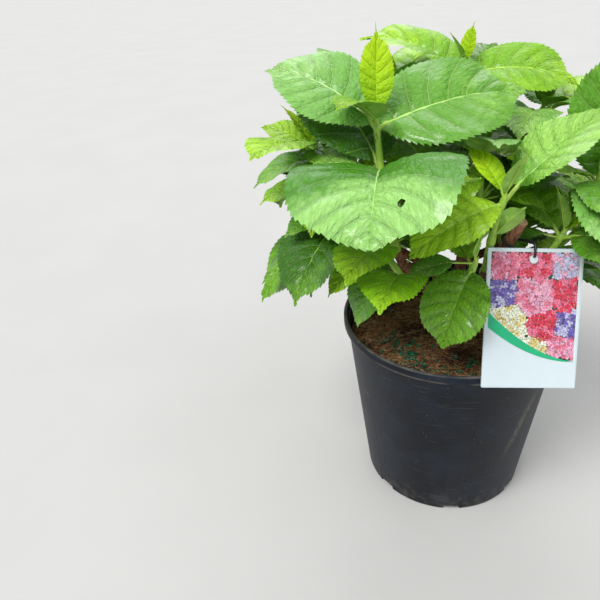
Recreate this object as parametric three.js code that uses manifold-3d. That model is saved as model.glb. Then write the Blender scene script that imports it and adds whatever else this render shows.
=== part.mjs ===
// A young hydrangea shrub in its round nursery pot, with its picture tag on a strap.
// Millimetres, +Z up. The origin is the middle of the pot's flat underside, and the
// plant's front, where the tag hangs, looks along -Y.
import * as THREE from "three";
import { mergeVertices } from "three/addons/utils/BufferGeometryUtils.js";
import Module from "manifold-3d";

const wasm = await Module();
wasm.setup();

// Clear space between pieces that touch on the real plant, and how far a cut stands off
// the piece that it clears, whose facets lie nearer than its corners
const GAP = 0.3;
const CUT = 0.36;
const CROWN_CUT = 0.5;
// Edges shorter than this are left out
const SLIVER = 0.02;

// Pot: a tapered nursery pot with a flat band under its lip and slots round its foot
const POT_HEIGHT = 182;
const RIM_RADIUS = 100;
const BAND_HEIGHT = 8;
const NECK_RADIUS = 96.5;
const FOOT_RADIUS = 77;
const WALL = 1.8;
const LIP = 3.2;
const FLOOR = 3;
const POT_SIDES = 36;
const SLOT_COUNT = 7;
const SLOT_WIDTH = 16;
const SLOT_HEIGHT = 5;
const SLOT_DEPTH = 9;
const SLOT_TURN = -80;

// Potting mix, and the coir mulch that covers it
const MIX_TOP = 152;
const MULCH_THICK = 13;
const MULCH_DOME = 3;
const MULCH_RINGS = 2;

// Root crown, cut flat where it stands on the mix
const CROWN_FOOT = 17;
const CROWN_WAIST = 11.5;
const CROWN_TOP = 184;
const CROWN_SIDES = 10;

// Woody stems: where each one ends (degrees round the pot, reach, height) and its thickness
const STEM_START_REACH = 6;
const STEM_START_Z = CROWN_TOP - 8;
const STEM_RISE = 62;
const STEM_TAPER = 0.82;
const STEMS = {
  front: { az: -41, reach: 62, z: 292, radius: 5.8 },
  left: { az: 208, reach: 46, z: 238, radius: 5.6 },
  back_left: { az: 130, reach: 48, z: 240, radius: 5.2 },
  right: { az: 10, reach: 50, z: 236, radius: 5.4 },
  back: { az: 78, reach: 34, z: 252, radius: 5.4 },
};

// Boughs and the leafy shoots that they carry. place is how far up its stem a bough
// leaves, start and tip are the shoot's ends (degrees, reach, height), pairs its leaf
// pairs, turn the heading of its top full pair, and leaf the length of a full leaf.
const BOUGH_RADII = [4.2, 3.6];
const SHOOT_RADII = [3.5, 2.3];
const SHOOTS = [
  { name: "front_left", on: "left", place: 1, start: [220, 62, 262], tip: [216, 78, 368], pairs: 5, turn: 8, leaf: 108 },
  { name: "front_right", on: "front", place: 0.5, start: [-54, 43, 246], tip: [-62, 66, 317], pairs: 4, turn: 35, leaf: 96 },
  { name: "top", on: "back", place: 1, start: [85, 42, 266], tip: [94, 54, 384], pairs: 5, turn: 172, leaf: 108 },
  { name: "left", on: "left", place: 0.62, start: [190, 74, 252], tip: [185, 122, 338], pairs: 5, turn: 85, leaf: 84 },
  { name: "right", on: "right", place: 1, start: [4, 66, 246], tip: [0, 104, 312], pairs: 4, turn: 60, leaf: 108 },
  { name: "front_low", on: "front", place: 0.36, start: [-78, 48, 226], tip: [-76, 62, 264], pairs: 2, turn: -105, leaf: 84 },
  { name: "right_back", on: "right", place: 0.6, start: [44, 58, 258], tip: [48, 94, 348], pairs: 5, turn: 20, leaf: 84 },
  { name: "right_front", on: "right", place: 0.75, start: [-18, 60, 238], tip: [-16, 84, 276], pairs: 3, turn: -60, leaf: 96 },
  { name: "centre", on: "back", place: 0.55, start: [-20, 14, 262], tip: [-20, 15, 334], pairs: 3, turn: 120, leaf: 78 },
  { name: "left_back", on: "back_left", place: 0.6, start: [162, 70, 240], tip: [160, 116, 316], pairs: 4, turn: 30, leaf: 104 },
  { name: "back_left", on: "back_left", place: 1, start: [135, 62, 262], tip: [136, 90, 362], pairs: 5, turn: 60, leaf: 108 },
  { name: "back", on: "back", place: 0.75, start: [100, 62, 246], tip: [102, 118, 336], pairs: 5, turn: 2, leaf: 106 },
  { name: "back_right", on: "back", place: 0.6, start: [46, 62, 232], tip: [56, 112, 296], pairs: 4, turn: 140, leaf: 104 },
  { name: "left_low", on: "left", place: 0.7, start: [236, 58, 232], tip: [232, 92, 284], pairs: 3, turn: 145, leaf: 100 },
  { name: "back_low", on: "back_left", place: 0.75, start: [124, 66, 226], tip: [124, 108, 262], pairs: 3, turn: 35, leaf: 104 },
  { name: "right_low", on: "right", place: 0.55, start: [20, 70, 222], tip: [22, 112, 250], pairs: 3, turn: 110, leaf: 100 },
];

// Leaves: each level counts down from the shoot's tip
const LEVELS = [
  { grow: 0.42, rise: 72, droop: 14 },
  { grow: 0.85, rise: 34, droop: 42 },
  { grow: 1.05, rise: 16, droop: 50 },
  { grow: 1.15, rise: 2, droop: 54 },
  { grow: 1.0, rise: -10, droop: 50 },
];
const LIMB_POINTS = 17;
const STEM = { sides: 7, step: 2 };
const BOUGH = { sides: 6, step: 4 };
const SHOOT = { sides: 6, step: 4 };
const STALK_SIDES = 3;
const NODE_STEP = 34;
const TIP_STEP = 5;
const LOBE = 0.05;
const SWEEP = 0.22;
const PETIOLE_LIFT = 10;
const PETIOLE_RADIUS = 1.7;
const LEAF_HALF_THICK = 0.011;
const FULL_ROWS = [0.04, 0.2, 0.43, 0.68, 0.89];
const YOUNG_ROWS = [0.1, 0.45, 0.82];
const YOUNG_LENGTH = 50;

// Leaves that the eye picks out from the front, each set by hand: its shoot, level and
// side, then heading, rise, length, droop, breadth over length, roll, fold, petiole
// length and bluntness
const SET_LEAVES = [
  ["front_left", 1, 1, 165, 40, 95, 45, 0.7, 25, 8, 10, 0],
  ["front_left", 1, 0, 27, 18, 113, 28, 0.8, -25, 8, 8, 0],
  ["front_left", 0, 0, 100, 82, 56, 8, 0.52, -10, 16, 12, 0],
  ["front_left", 0, 1, -118, 50, 48, 70, 0.8, 0, 20, 6, 0],
  ["front_left", 2, 1, -86, 22, 108, 64, 1.05, -6, 20, 18, 0.8],
  ["front_right", 1, 1, 215, -8, 76, 32, 0.7, 8, 24, 8, 0],
  ["front_right", 1, 0, 35, 35, 82, 6, 0.68, 0, 25, 20, 0],
  ["front_right", 0, 1, 140, 50, 45, 40, 0.62, 0, 16, 8, 0],
  ["front_right", 2, 1, -40, 55, 36, 10, 0.5, 50, 25, 8, 0],
  ["top", 1, 0, 168, 32, 92, 38, 0.58, 10, 32, 8, 0],
  ["top", 1, 1, 2, 12, 86, 44, 0.66, -30, 8, 8, 0],
  ["top", 0, 0, 50, 78, 30, 8, 0.6, 0, 16, 8, 0],
  ["top", 0, 1, 200, 70, 28, 20, 0.55, 0, 16, 6, 0],
  ["left", 1, 1, 170, 35, 46, 40, 0.6, 20, 10, 8, 0],
  ["left", 2, 1, -95, 0, 56, 60, 0.66, 0, 14, 8, 0],
  ["left", 0, 0, 100, 84, 28, 8, 0.5, 0, 16, 6, 0],
  ["right_back", 0, 1, 80, 80, 32, 8, 0.55, 0, 16, 6, 0],
  ["right_back", 1, 1, 205, 12, 44, 36, 0.8, 20, 8, 10, 0],
  ["right", 1, 0, 100, 80, 90, 8, 0.65, 0, 14, 12, 0],
  ["right", 1, 1, -85, 8, 88, 60, 0.66, 0, 14, 12, 0],
  ["front_low", 1, 0, -104, -32, 62, 40, 0.86, 0, 14, 6, 0.3],
  ["front_low", 0, 0, 192, -5, 36, 30, 0.6, 20, 14, 19, 0],
];

// Space that the leaves keep to
const CROWN_REACH = 178;
const LEAF_LOWEST = 170;
const LEAF_HIGHEST = 430;
const RIM_KEEP = { radius: 108, z: 188 };
const OTHER_CLEAR = 4;
const OWN_CLEAR = 2.5;
const CARD_CLEAR = 3.5;
const LEAF_SCALES = [1, 0.85, 0.7, 0.55];
const YOUNG_SCALES = [1, 0.7];
const SWING = 12;
const TWIG_CHANCE = 0.7;
const TWIG_RADII = [1.6, 1.3];
const TWIG_TRIES = [1, 0.75].flatMap((scale) => {
  return [52, 30].flatMap((rise) => [0, 25, -25, 50, -50, 75, -75].map((turn) => [turn, rise, scale]));
});

// Tag: the middle of the card, its size, and how it turns, leans out at its foot and tips
const TAG_MIDDLE = [61.1, -66.9, 221.6];
const TAG_WIDTH = 75;
const TAG_HEIGHT = 110;
const TAG_THICK = 0.8;
const TAG_TURN = 18;
const TAG_LEAN = 24.4;
const TAG_TIP = -6;
const TAG_HOLE = { u: -2, down: 8.5, radius: 3.2 };
const TIE_RADIUS = 1;
const TIE_SIDES = 5;
const TIE_STEPS = 30;
const TIE_PLACE = 0.84;

const FINISHES = {
  pot: { color: 0x23272d, roughness: 0.5 },
  mix: { color: 0x2c2119, roughness: 1 },
  mulch: { color: 0x7a5230, roughness: 1 },
  bark: { color: 0x6b4630, roughness: 0.85 },
  shoot: { color: 0x8fb04a, roughness: 0.6 },
  leaf: { color: 0x6fae3c, roughness: 0.45 },
  card: { color: 0xeef1f2, roughness: 0.4 },
  tie: { color: 0x17181a, roughness: 0.5 },
};

const radians = THREE.MathUtils.degToRad;

function vec(x, y, z) {
  return new THREE.Vector3(x, y, z);
}

// A point by its heading round the pot's axis, its reach from the axis and its height
function polar([az, reach, z]) {
  const a = radians(az);
  return vec(reach * Math.cos(a), reach * Math.sin(a), z);
}

// The direction of a heading, in degrees from +X, that rises by rise degrees
function heading(az, rise) {
  const a = radians(az);
  const r = radians(rise);
  return vec(Math.cos(r) * Math.cos(a), Math.cos(r) * Math.sin(a), Math.sin(r));
}

function spaced(from, to, count) {
  return Array.from({ length: count }, (_, i) => from + ((to - from) * i) / (count - 1));
}

function clamp(x, low, high) {
  return Math.min(Math.max(x, low), high);
}

// Seeded numbers between 0 and 1
class Dice {
  constructor(seed) {
    this.state = (seed * 7919) % 2147483647;
    for (let i = 0; i < 3; i++) this.roll();
  }

  roll() {
    this.state = (this.state * 48271) % 2147483647;
    return this.state / 2147483647;
  }

  span(low, high) {
    return low + (high - low) * this.roll();
  }
}

// A closed solid from points and triangles
function solid(points, faces) {
  const mesh = new wasm.Mesh({
    numProp: 3,
    vertProperties: Float32Array.from(points.flatMap((p) => [p.x, p.y, p.z])),
    triVerts: Uint32Array.from(faces.flat()),
  });
  return new wasm.Manifold(mesh);
}

// A geometry as a solid, with the points that lie within reach of each other made one
function solidOf(geometry, reach = 1e-4) {
  const bare = geometry.clone();
  bare.deleteAttribute("normal");
  bare.deleteAttribute("uv");
  const merged = mergeVertices(bare, reach);
  const corners = merged.getIndex().array;
  const faces = [];
  for (let i = 0; i < corners.length; i += 3) {
    const [a, b, c] = corners.slice(i, i + 3);
    if (a !== b && b !== c && c !== a) faces.push(a, b, c);
  }
  const mesh = new wasm.Mesh({
    numProp: 3,
    vertProperties: Float32Array.from(merged.getAttribute("position").array),
    triVerts: Uint32Array.from(faces),
  });
  return new wasm.Manifold(mesh);
}

function geometryOf(manifold) {
  const mesh = manifold.getMesh();
  const geometry = new THREE.BufferGeometry();
  geometry.setAttribute("position", new THREE.BufferAttribute(new Float32Array(mesh.vertProperties), 3));
  geometry.setIndex(new THREE.BufferAttribute(new Uint32Array(mesh.triVerts), 1));
  return geometry;
}

function joined(solids) {
  return solids.reduce((sum, one) => sum.add(one));
}

function named(name, manifold, finish) {
  const geometry = geometryOf(manifold);
  geometry.computeVertexNormals();
  const material = new THREE.MeshStandardMaterial({ ...FINISHES[finish], metalness: 0 });
  const mesh = new THREE.Mesh(geometry, material);
  mesh.name = name;
  return mesh;
}

// A solid turned round +Z from a profile of [radius, height] points
function turned(profile, sides) {
  const geometry = new THREE.LatheGeometry(profile.map(([r, z]) => new THREE.Vector2(r, z)), sides);
  geometry.rotateX(Math.PI / 2);
  return solidOf(geometry);
}

// Directions along a line of points
function tangents(points) {
  return points.map((_, i) => {
    const before = points[Math.max(i - 1, 0)];
    const after = points[Math.min(i + 1, points.length - 1)];
    return after.clone().sub(before).normalize();
  });
}

// Side vectors along a line of points that turn as little as they can
function frames(points, along = tangents(points)) {
  let side = Math.abs(along[0].z) < 0.9 ? vec(0, 0, 1) : vec(1, 0, 0);
  return along.map((t) => {
    side = side.clone().addScaledVector(t, -side.dot(t)).normalize();
    return { t, side, up: t.clone().cross(side) };
  });
}

// A tapering round limb along a line of points, with flat ends
function tube(points, radii, sides, ways) {
  const rings = frames(points, ways);
  const out = [];
  rings.forEach(({ side, up }, i) => {
    for (let k = 0; k < sides; k++) {
      const a = (2 * Math.PI * k) / sides;
      const p = points[i].clone();
      p.addScaledVector(side, radii[i] * Math.cos(a)).addScaledVector(up, radii[i] * Math.sin(a));
      out.push(p);
    }
  });
  const faces = [];
  for (let i = 0; i < points.length - 1; i++) {
    for (let k = 0; k < sides; k++) {
      const a = i * sides + k;
      const b = i * sides + ((k + 1) % sides);
      faces.push([a, b, b + sides], [a, b + sides, a + sides]);
    }
  }
  const last = (points.length - 1) * sides;
  for (let k = 1; k < sides - 1; k++) {
    faces.push([0, k + 1, k], [last, last + k, last + k + 1]);
  }
  return solid(out, faces);
}

// A limb from a to b that sets out along way, as a line of points with a radius at each
function limb(a, way, b, startRadius, endRadius) {
  const bend = a.clone().addScaledVector(way, 0.5 * a.distanceTo(b));
  const curve = new THREE.QuadraticBezierCurve3(a, bend, b);
  const places = spaced(0, 1, LIMB_POINTS);
  return {
    points: places.map((t) => curve.getPoint(t)),
    ways: places.map((t) => curve.getTangent(t)),
    radii: places.map((t) => startRadius + (endRadius - startRadius) * t),
  };
}

// A limb as a solid that keeps one of its points in each step. A grown one is thicker and
// longer by the clear space that another piece keeps from it.
function limbSolid({ points, radii, ways }, { sides, step }, grown = 0) {
  const kept = (_, i) => i % step === 0;
  const line = points.filter(kept);
  line[line.length - 1] = points.at(-1).clone().addScaledVector(ways.at(-1), grown);
  return tube(line, radii.filter(kept).map((r) => r + grown), sides, ways.filter(kept));
}

// The point at a place from 0 to 1 along a limb
function pointAlong({ points }, place) {
  const k = place * (points.length - 1);
  const i = Math.min(Math.floor(k), points.length - 2);
  return points[i].clone().lerp(points[i + 1], k - i);
}

// The point of a shoot that carries the leaves of a level, counted down from its tip
function nodeAt({ points }, level, pairs) {
  const steps = points.slice(1).map((p, i) => p.distanceTo(points[i]));
  const total = steps.reduce((sum, step) => sum + step);
  const step = Math.min(NODE_STEP, (total - 8) / Math.max(pairs - 2, 1));
  let left = level === 0 ? 0 : TIP_STEP + (level - 1) * step;
  for (let i = points.length - 1; i > 0; i--) {
    const part = steps[i - 1];
    if (left <= part) return points[i].clone().lerp(points[i - 1], left / part);
    left -= part;
  }
  return points[0].clone();
}

// Half width of a blade over its half breadth, at x along the midrib
function halfWidth(x, blunt) {
  const u = clamp((x + LOBE) / (1 + LOBE), 0, 1);
  const body = Math.pow(Math.max(Math.sin(Math.PI * Math.pow(u, 0.84)), 0), 0.8 - 0.28 * blunt);
  const tip = clamp((u - 0.76) / 0.24, 0, 1);
  return body * (1 - (0.38 - 0.3 * blunt) * tip * tip * (3 - 2 * tip));
}

// Where the row that leaves the midrib at s meets the margin
function marginAt(s) {
  return s + SWEEP * Math.sin(Math.PI * s) - LOBE * Math.pow(1 - s, 4);
}

// A leaf on its stalk: a blade round a midrib that sets out at rise and bends down by droop
class Leaf {
  constructor(shoot, node, row) {
    Object.assign(this, { droop: 35, wide: 0.7, roll: 0, fold: 12, blunt: 0, ...row, shoot, node });
    this.base = node.clone().addScaledVector(heading(this.az, this.rise + PETIOLE_LIFT), this.petiole);
    this.sideways = vec(Math.sin(radians(this.az)), -Math.cos(radians(this.az)), 0);
    this.layMidrib();
    this.stations = spaced(0, 1, 13).map((x) => ({ x, ...this.midrib(x) }));
    this.cloud = spaced(0.02, 1, 10).flatMap((s) => spaced(-1, 1, 9).map((v) => this.surface(s, v)));
    this.middle = this.cloud.reduce((sum, p) => sum.add(p), vec(0, 0, 0)).divideScalar(this.cloud.length);
    this.reach = Math.max(...this.cloud.map((p) => p.distanceTo(this.middle)));
  }

  layMidrib() {
    this.grid = spaced(-0.1, 1, 23);
    this.along = this.grid.map((x) => {
      const bend = this.droop * Math.sign(x) * Math.pow(Math.abs(x), 1.15);
      return heading(this.az, this.rise - bend);
    });
    const step = (this.grid[1] - this.grid[0]) * this.length;
    this.line = [vec(0, 0, 0)];
    for (let i = 1; i < this.grid.length; i++) {
      const way = this.along[i].clone().add(this.along[i - 1]).multiplyScalar(0.5 * step);
      this.line.push(this.line[i - 1].clone().add(way));
    }
    const shift = this.base.clone().sub(this.line[2]);
    this.line.forEach((p) => p.add(shift));
  }

  // The midrib's point, direction, side and upper face at x from its base to its tip
  midrib(x) {
    const k = clamp((x - this.grid[0]) / (this.grid[1] - this.grid[0]), 0, this.grid.length - 1);
    const i = Math.min(Math.floor(k), this.grid.length - 2);
    const p = this.line[i].clone().lerp(this.line[i + 1], k - i);
    const t = this.along[i].clone().lerp(this.along[i + 1], k - i).normalize();
    const up = this.sideways.clone().cross(t);
    const c = Math.cos(radians(this.roll));
    const s = Math.sin(radians(this.roll));
    const b = this.sideways.clone().multiplyScalar(c).addScaledVector(up, s);
    const n = up.multiplyScalar(c).addScaledVector(this.sideways, -s);
    return { p, t, b, n };
  }

  halfBreadth(x) {
    return 0.5 * this.wide * this.length * halfWidth(x, this.blunt);
  }

  // The blade's point on the row that leaves the midrib at s, v from -1 to 1 across it
  surface(s, v) {
    const x = marginAt(s);
    const y = v * this.halfBreadth(x);
    const { p, b, n } = this.midrib(s + (x - s) * Math.pow(Math.abs(v), 1.4));
    const up = radians(this.fold) * (1 - 0.5 * Math.abs(v));
    return p.addScaledVector(b, y * Math.cos(up)).addScaledVector(n, Math.abs(y) * Math.sin(up));
  }

  // True if points come nearer than clear to the blade, or lie on both sides of it
  hit(points, clear) {
    const near = clear / this.length;
    const fold = Math.sin(radians(this.fold * 0.75));
    let low = Infinity;
    let high = -Infinity;
    for (const point of points) {
      let best = this.stations[0];
      let least = Infinity;
      for (const one of this.stations) {
        const away = point.distanceToSquared(one.p);
        if (away < least) {
          least = away;
          best = one;
        }
      }
      const d = point.clone().sub(best.p);
      const x = best.x + d.dot(best.t) / this.length;
      const y = Math.abs(d.dot(best.b));
      const half = this.halfBreadth(clamp(x, 0.02, 0.98));
      if (x <= -near || x >= 1 + near || y >= half + clear) continue;
      const height = d.dot(best.n) - Math.min(y, half) * fold;
      if (Math.abs(height) < clear) return true;
      low = Math.min(low, height);
      high = Math.max(high, height);
    }
    return low < 0 && high > 0;
  }

  // The blade as a closed solid, thickest at its midrib, with its margins on the outline
  blade() {
    const thick = LEAF_HALF_THICK * this.length;
    const rows = this.length < YOUNG_LENGTH ? YOUNG_ROWS : FULL_ROWS;
    const points = [this.surface(0, 0)];
    for (const s of rows) {
      const { n } = this.midrib(s);
      points.push(this.surface(s, -1));
      points.push(this.surface(s, 0).addScaledVector(n, thick));
      points.push(this.surface(s, 1));
      points.push(this.surface(s, 0).addScaledVector(n, -thick));
    }
    points.push(this.surface(1, 0));
    const faces = [];
    for (let k = 0; k < 4; k++) {
      const next = (k + 1) % 4;
      const end = 1 + 4 * (rows.length - 1);
      faces.push([0, 1 + next, 1 + k], [points.length - 1, end + k, end + next]);
      for (let i = 1; i < end; i += 4) {
        // Upper and lower face are split along the same line, from the margin on to the midrib
        const [a, b, c, d] = [i + k, i + next, i + 4 + next, i + 4 + k];
        faces.push(...(k % 2 === 0 ? [[a, b, c], [a, c, d]] : [[a, b, d], [b, c, d]]));
      }
    }
    return solid(points, faces);
  }

  stalkLine() {
    return spaced(0, 1, 5).map((k) => this.node.clone().lerp(this.base, k));
  }

  // The leaf's stalk, from inside the shoot to a place inside the blade
  stalk() {
    const { p, n } = this.midrib(0.2);
    const root = this.node.clone().add(vec(0, 0, -1.1 - 0.45 * this.side));
    const line = [root, this.base, p.addScaledVector(n, -0.2 * LEAF_HALF_THICK * this.length)];
    const size = PETIOLE_RADIUS * clamp(this.length / 90, 0.6, 1.1);
    return tube(line, [size, 0.85 * size, 0.3 * size], STALK_SIDES);
  }
}

// The turns and rises that a leaf tries until it finds room
function swings() {
  const ways = [[1, 0], [-1, 0], [0, 1], [0, -1], [1, -1], [-1, -1], [1, 1], [-1, 1]];
  const tries = [[0, 0]];
  for (let k = 1; k <= 4; k++) {
    for (const [turn, rise] of ways) tries.push([turn * k * SWING, rise * k * SWING * 0.7]);
  }
  return tries;
}

// The card's axes: across, up and out of its picture side
function tagAxes() {
  const across = heading(TAG_TURN, 0);
  const out = heading(TAG_TURN - 90, 0);
  const up = vec(0, 0, Math.cos(radians(TAG_LEAN))).addScaledVector(out, -Math.sin(radians(TAG_LEAN)));
  const c = Math.cos(radians(TAG_TIP));
  const s = Math.sin(radians(TAG_TIP));
  const x = across.clone().multiplyScalar(c).addScaledVector(up, s);
  const z = up.clone().multiplyScalar(c).addScaledVector(across, -s);
  return { x, z, n: x.clone().cross(z) };
}

// A point of the card, u across and v up from its middle
function tagPoint(u, v) {
  const { x, z } = tagAxes();
  return vec(...TAG_MIDDLE).addScaledVector(x, u).addScaledVector(z, v);
}

// True if any of the points comes within a few millimetres of the card
function nearCard(points) {
  const { x, z, n } = tagAxes();
  return points.some((p) => {
    const d = p.clone().sub(vec(...TAG_MIDDLE));
    const across = Math.abs(d.dot(x)) < TAG_WIDTH / 2 + CARD_CLEAR;
    const up = Math.abs(d.dot(z)) < TAG_HEIGHT / 2 + CARD_CLEAR;
    return across && up && Math.abs(d.dot(n)) < CARD_CLEAR;
  });
}

// The whole shrub: stems, boughs, shoots, leaves and side twigs
class Shrub {
  constructor() {
    this.stems = {};
    this.boughs = {};
    this.shoots = {};
    this.leaves = [];
    this.twigs = [];
    for (const [name, { az, reach, z, radius }] of Object.entries(STEMS)) {
      const start = polar([az, STEM_START_REACH, STEM_START_Z]);
      const end = polar([az, reach, z]);
      this.stems[name] = limb(start, heading(az, STEM_RISE), end, radius, radius * STEM_TAPER);
    }
    for (const row of SHOOTS) this.branch(row);
    this.sticks = this.obstacles();
    for (const row of SET_LEAVES) this.setLeaf(row);
    const byHeight = [...SHOOTS].sort((a, b) => b.tip[2] - a.tip[2]);
    LEVELS.forEach((_, level) => {
      for (const row of byHeight) {
        if (level < row.pairs) this.pair(row, level);
      }
    });
  }

  branch({ name, on, place, start, tip }) {
    const foot = pointAlong(this.stems[on], place);
    const end = polar(start);
    const way = end.clone().sub(foot).normalize().multiply(vec(1.15, 1.15, 0.7)).normalize();
    this.boughs[name] = limb(foot, way, end, ...BOUGH_RADII);
    this.shoots[name] = limb(end, this.boughs[name].ways.at(-1), polar(tip), ...SHOOT_RADII);
  }

  // The limbs that the leaves keep clear of
  obstacles() {
    const sticks = [];
    for (const limbs of [this.stems, this.boughs, this.shoots]) {
      for (const [name, { points, radii }] of Object.entries(limbs)) {
        sticks.push({ name: limbs === this.stems ? "" : name, points, radius: radii[0] });
      }
    }
    return sticks;
  }

  setLeaf([name, level, side, az, rise, length, droop, wide, roll, fold, petiole, blunt]) {
    const { pairs } = SHOOTS.find((row) => row.name === name);
    const node = nodeAt(this.shoots[name], level, pairs);
    const row = { level, side, az, rise, length, droop, wide, roll, fold, petiole, blunt };
    this.leaves.push(new Leaf(name, node, row));
  }

  isSet(name, level, side) {
    return SET_LEAVES.some((row) => row[0] === name && row[1] === level && row[2] === side);
  }

  // The two leaves of a node, each turned, tipped or made smaller until it has room
  pair({ name, pairs, turn, leaf }, level) {
    const seed = 1 + SHOOTS.findIndex((row) => row.name === name);
    const dice = new Dice(seed * 31 + level * 7 + 5);
    const { grow, rise, droop } = LEVELS[level];
    const node = nodeAt(this.shoots[name], level, pairs);
    for (const side of [0, 1]) {
      const az = turn + 90 * (level - 1) + 180 * side + dice.span(-10, 10);
      const length = leaf * grow * dice.span(0.92, 1.08);
      const wide = level ? dice.span(0.66, 0.8) : 0.5;
      const [moreRise, moreDroop, halfRoll] = [0, 0, 0].map(() => dice.span(-8, 8));
      if (this.isSet(name, level, side)) continue;
      const shape = { level, side, droop: droop + moreDroop, wide, roll: 2 * halfRoll };
      const petiole = Math.max(6, length * 0.16);
      const grown = this.firstFree(name, node, (scale, swing, lift) => ({
        ...shape, az: az + swing, rise: rise + lift + moreRise, length: length * scale, petiole,
      }), level ? LEAF_SCALES : YOUNG_SCALES);
      if (!grown) continue;
      this.leaves.push(grown);
      if (level >= 2) this.twig(name, level, side, grown.az, node, seed);
    }
  }

  firstFree(name, node, rowFor, scales) {
    for (const scale of scales) {
      for (const [swing, lift] of swings()) {
        const leaf = new Leaf(name, node, rowFor(scale, swing, lift));
        if (this.free(leaf)) return leaf;
      }
    }
    return null;
  }

  // A short side twig with two young leaves, in the axil of a leaf
  twig(name, level, side, az, node, seed) {
    const dice = new Dice(seed * 17 + level * 5 + side + 3);
    if (dice.roll() > TWIG_CHANCE) return;
    const length = dice.span(18, 30);
    const size = dice.span(30, 46);
    for (const [turn, rise, scale] of TWIG_TRIES) {
      const way = heading(az + turn, rise);
      const tip = node.clone().addScaledVector(way, length * scale);
      const row = { level, side: side + 2, wide: 0.55, fold: 16, petiole: 5 };
      const grow = (swing, lift, part) => new Leaf(name, tip, {
        ...row, az: az + turn + swing, rise: rise + lift, length: part * scale * size, droop: 18,
      });
      const pair = [grow(80, 10, 1), grow(-100, 14, 0.85)];
      const points = spaced(0.35, 1, 5).map((k) => node.clone().lerp(tip, k));
      const mine = (leaf) => leaf.shoot === name && leaf.level === level && leaf.side === side;
      if (!pair.every((leaf) => this.free(leaf))) continue;
      if (this.leaves.some((leaf) => !mine(leaf) && leaf.hit(points, 3))) continue;
      this.leaves.push(...pair);
      this.twigs.push({ shoot: name, points: [node.clone().lerp(tip, 0.02), tip], radii: TWIG_RADII });
      this.sticks.push({ name: "", points, radius: TWIG_RADII[0] });
      return;
    }
  }

  // True if a leaf stays in the crown's space, off the rim, the limbs and other leaves
  free(leaf) {
    for (const { x, y, z } of leaf.cloud) {
      const reach = Math.hypot(x, y);
      if (reach > CROWN_REACH || z < LEAF_LOWEST || z > LEAF_HIGHEST) return false;
      if (reach < RIM_KEEP.radius && z < RIM_KEEP.z) return false;
    }
    if (nearCard(leaf.cloud) || nearCard(leaf.stalkLine())) return false;
    for (const other of this.leaves) {
      if (leaf.middle.distanceTo(other.middle) > leaf.reach + other.reach + 20) continue;
      const own = leaf.shoot === other.shoot;
      const clear = own ? OWN_CLEAR : OTHER_CLEAR;
      const skip = own ? 27 : 0;
      if (leaf.hit(other.cloud.slice(skip), clear) || other.hit(leaf.cloud.slice(skip), clear)) return false;
      if (!own && (leaf.hit(other.stalkLine(), clear) || other.hit(leaf.stalkLine(), clear))) return false;
    }
    return this.sticks.every(({ name, points, radius }) => {
      const near = points.filter((p) => {
        const own = name === leaf.shoot && p.distanceTo(leaf.node) <= 12;
        return !own && p.distanceTo(leaf.middle) < leaf.reach + 12;
      });
      return near.length === 0 || !leaf.hit(near, radius + 2.5);
    });
  }
}

// The pot's outer radius at a height below its band
function wallRadius(z) {
  return FOOT_RADIUS + ((NECK_RADIUS - FOOT_RADIUS) * z) / (POT_HEIGHT - BAND_HEIGHT);
}

function pot() {
  const band = POT_HEIGHT - BAND_HEIGHT;
  const inner = RIM_RADIUS - LIP;
  const body = turned([
    [0, 0],
    [FOOT_RADIUS - 1.2, 0],
    [wallRadius(1.2), 1.2],
    [wallRadius(band), band],
    [RIM_RADIUS, band + 0.3],
    [RIM_RADIUS, POT_HEIGHT - 0.9],
    [RIM_RADIUS - 0.9, POT_HEIGHT],
    [inner + 0.5, POT_HEIGHT],
    [wallRadius(band - 3) - WALL, band - 3],
    [wallRadius(FLOOR) - WALL, FLOOR],
    [0, FLOOR],
  ], POT_SIDES);
  const slots = spaced(0, SLOT_COUNT - 1, SLOT_COUNT).map((i) => {
    const box = new THREE.BoxGeometry(SLOT_DEPTH + 4, SLOT_WIDTH, SLOT_HEIGHT + 2);
    box.translate(FOOT_RADIUS + 4 - (SLOT_DEPTH + 4) / 2, 0, (SLOT_HEIGHT + 2) / 2 - 2);
    box.rotateZ(radians(SLOT_TURN + (360 * i) / SLOT_COUNT));
    return solidOf(box);
  });
  return body.subtract(joined(slots));
}

function pottingMix() {
  return turned([
    [0, FLOOR + GAP],
    [wallRadius(FLOOR + GAP) - WALL - GAP, FLOOR + GAP],
    [wallRadius(MIX_TOP) - WALL - GAP, MIX_TOP],
    [0, MIX_TOP],
  ], POT_SIDES);
}

function crownRadius(z) {
  const up = clamp((z - MIX_TOP) / (CROWN_TOP - MIX_TOP), 0, 1);
  return CROWN_WAIST + (CROWN_FOOT - CROWN_WAIST) * Math.pow(1 - up, 2);
}

function rootCrown(grown = 0) {
  const foot = MIX_TOP + GAP;
  const heights = spaced(foot, CROWN_TOP - 2.5, 6);
  const bark = heights.map((z) => [crownRadius(z) + grown, z]);
  const top = CROWN_TOP + grown;
  return turned([[0, foot], ...bark, [0.7 * CROWN_WAIST + grown, top], [0, top]], CROWN_SIDES);
}

// Mulch: a disc between the pot's wall and the root crown, a little higher in the middle
function coirMulch() {
  const low = MIX_TOP + GAP;
  const edge = MIX_TOP + MULCH_THICK - MULCH_DOME;
  const outer = (z) => wallRadius(z) - WALL - GAP;
  const dome = spaced(0, 1, MULCH_RINGS + 1).map((k) => {
    return [outer(edge) * (1 - k), edge + MULCH_DOME * Math.sin((Math.PI / 2) * k)];
  });
  return turned([[0, low], [outer(low), low], ...dome], POT_SIDES).subtract(rootCrown(CROWN_CUT));
}

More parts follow.
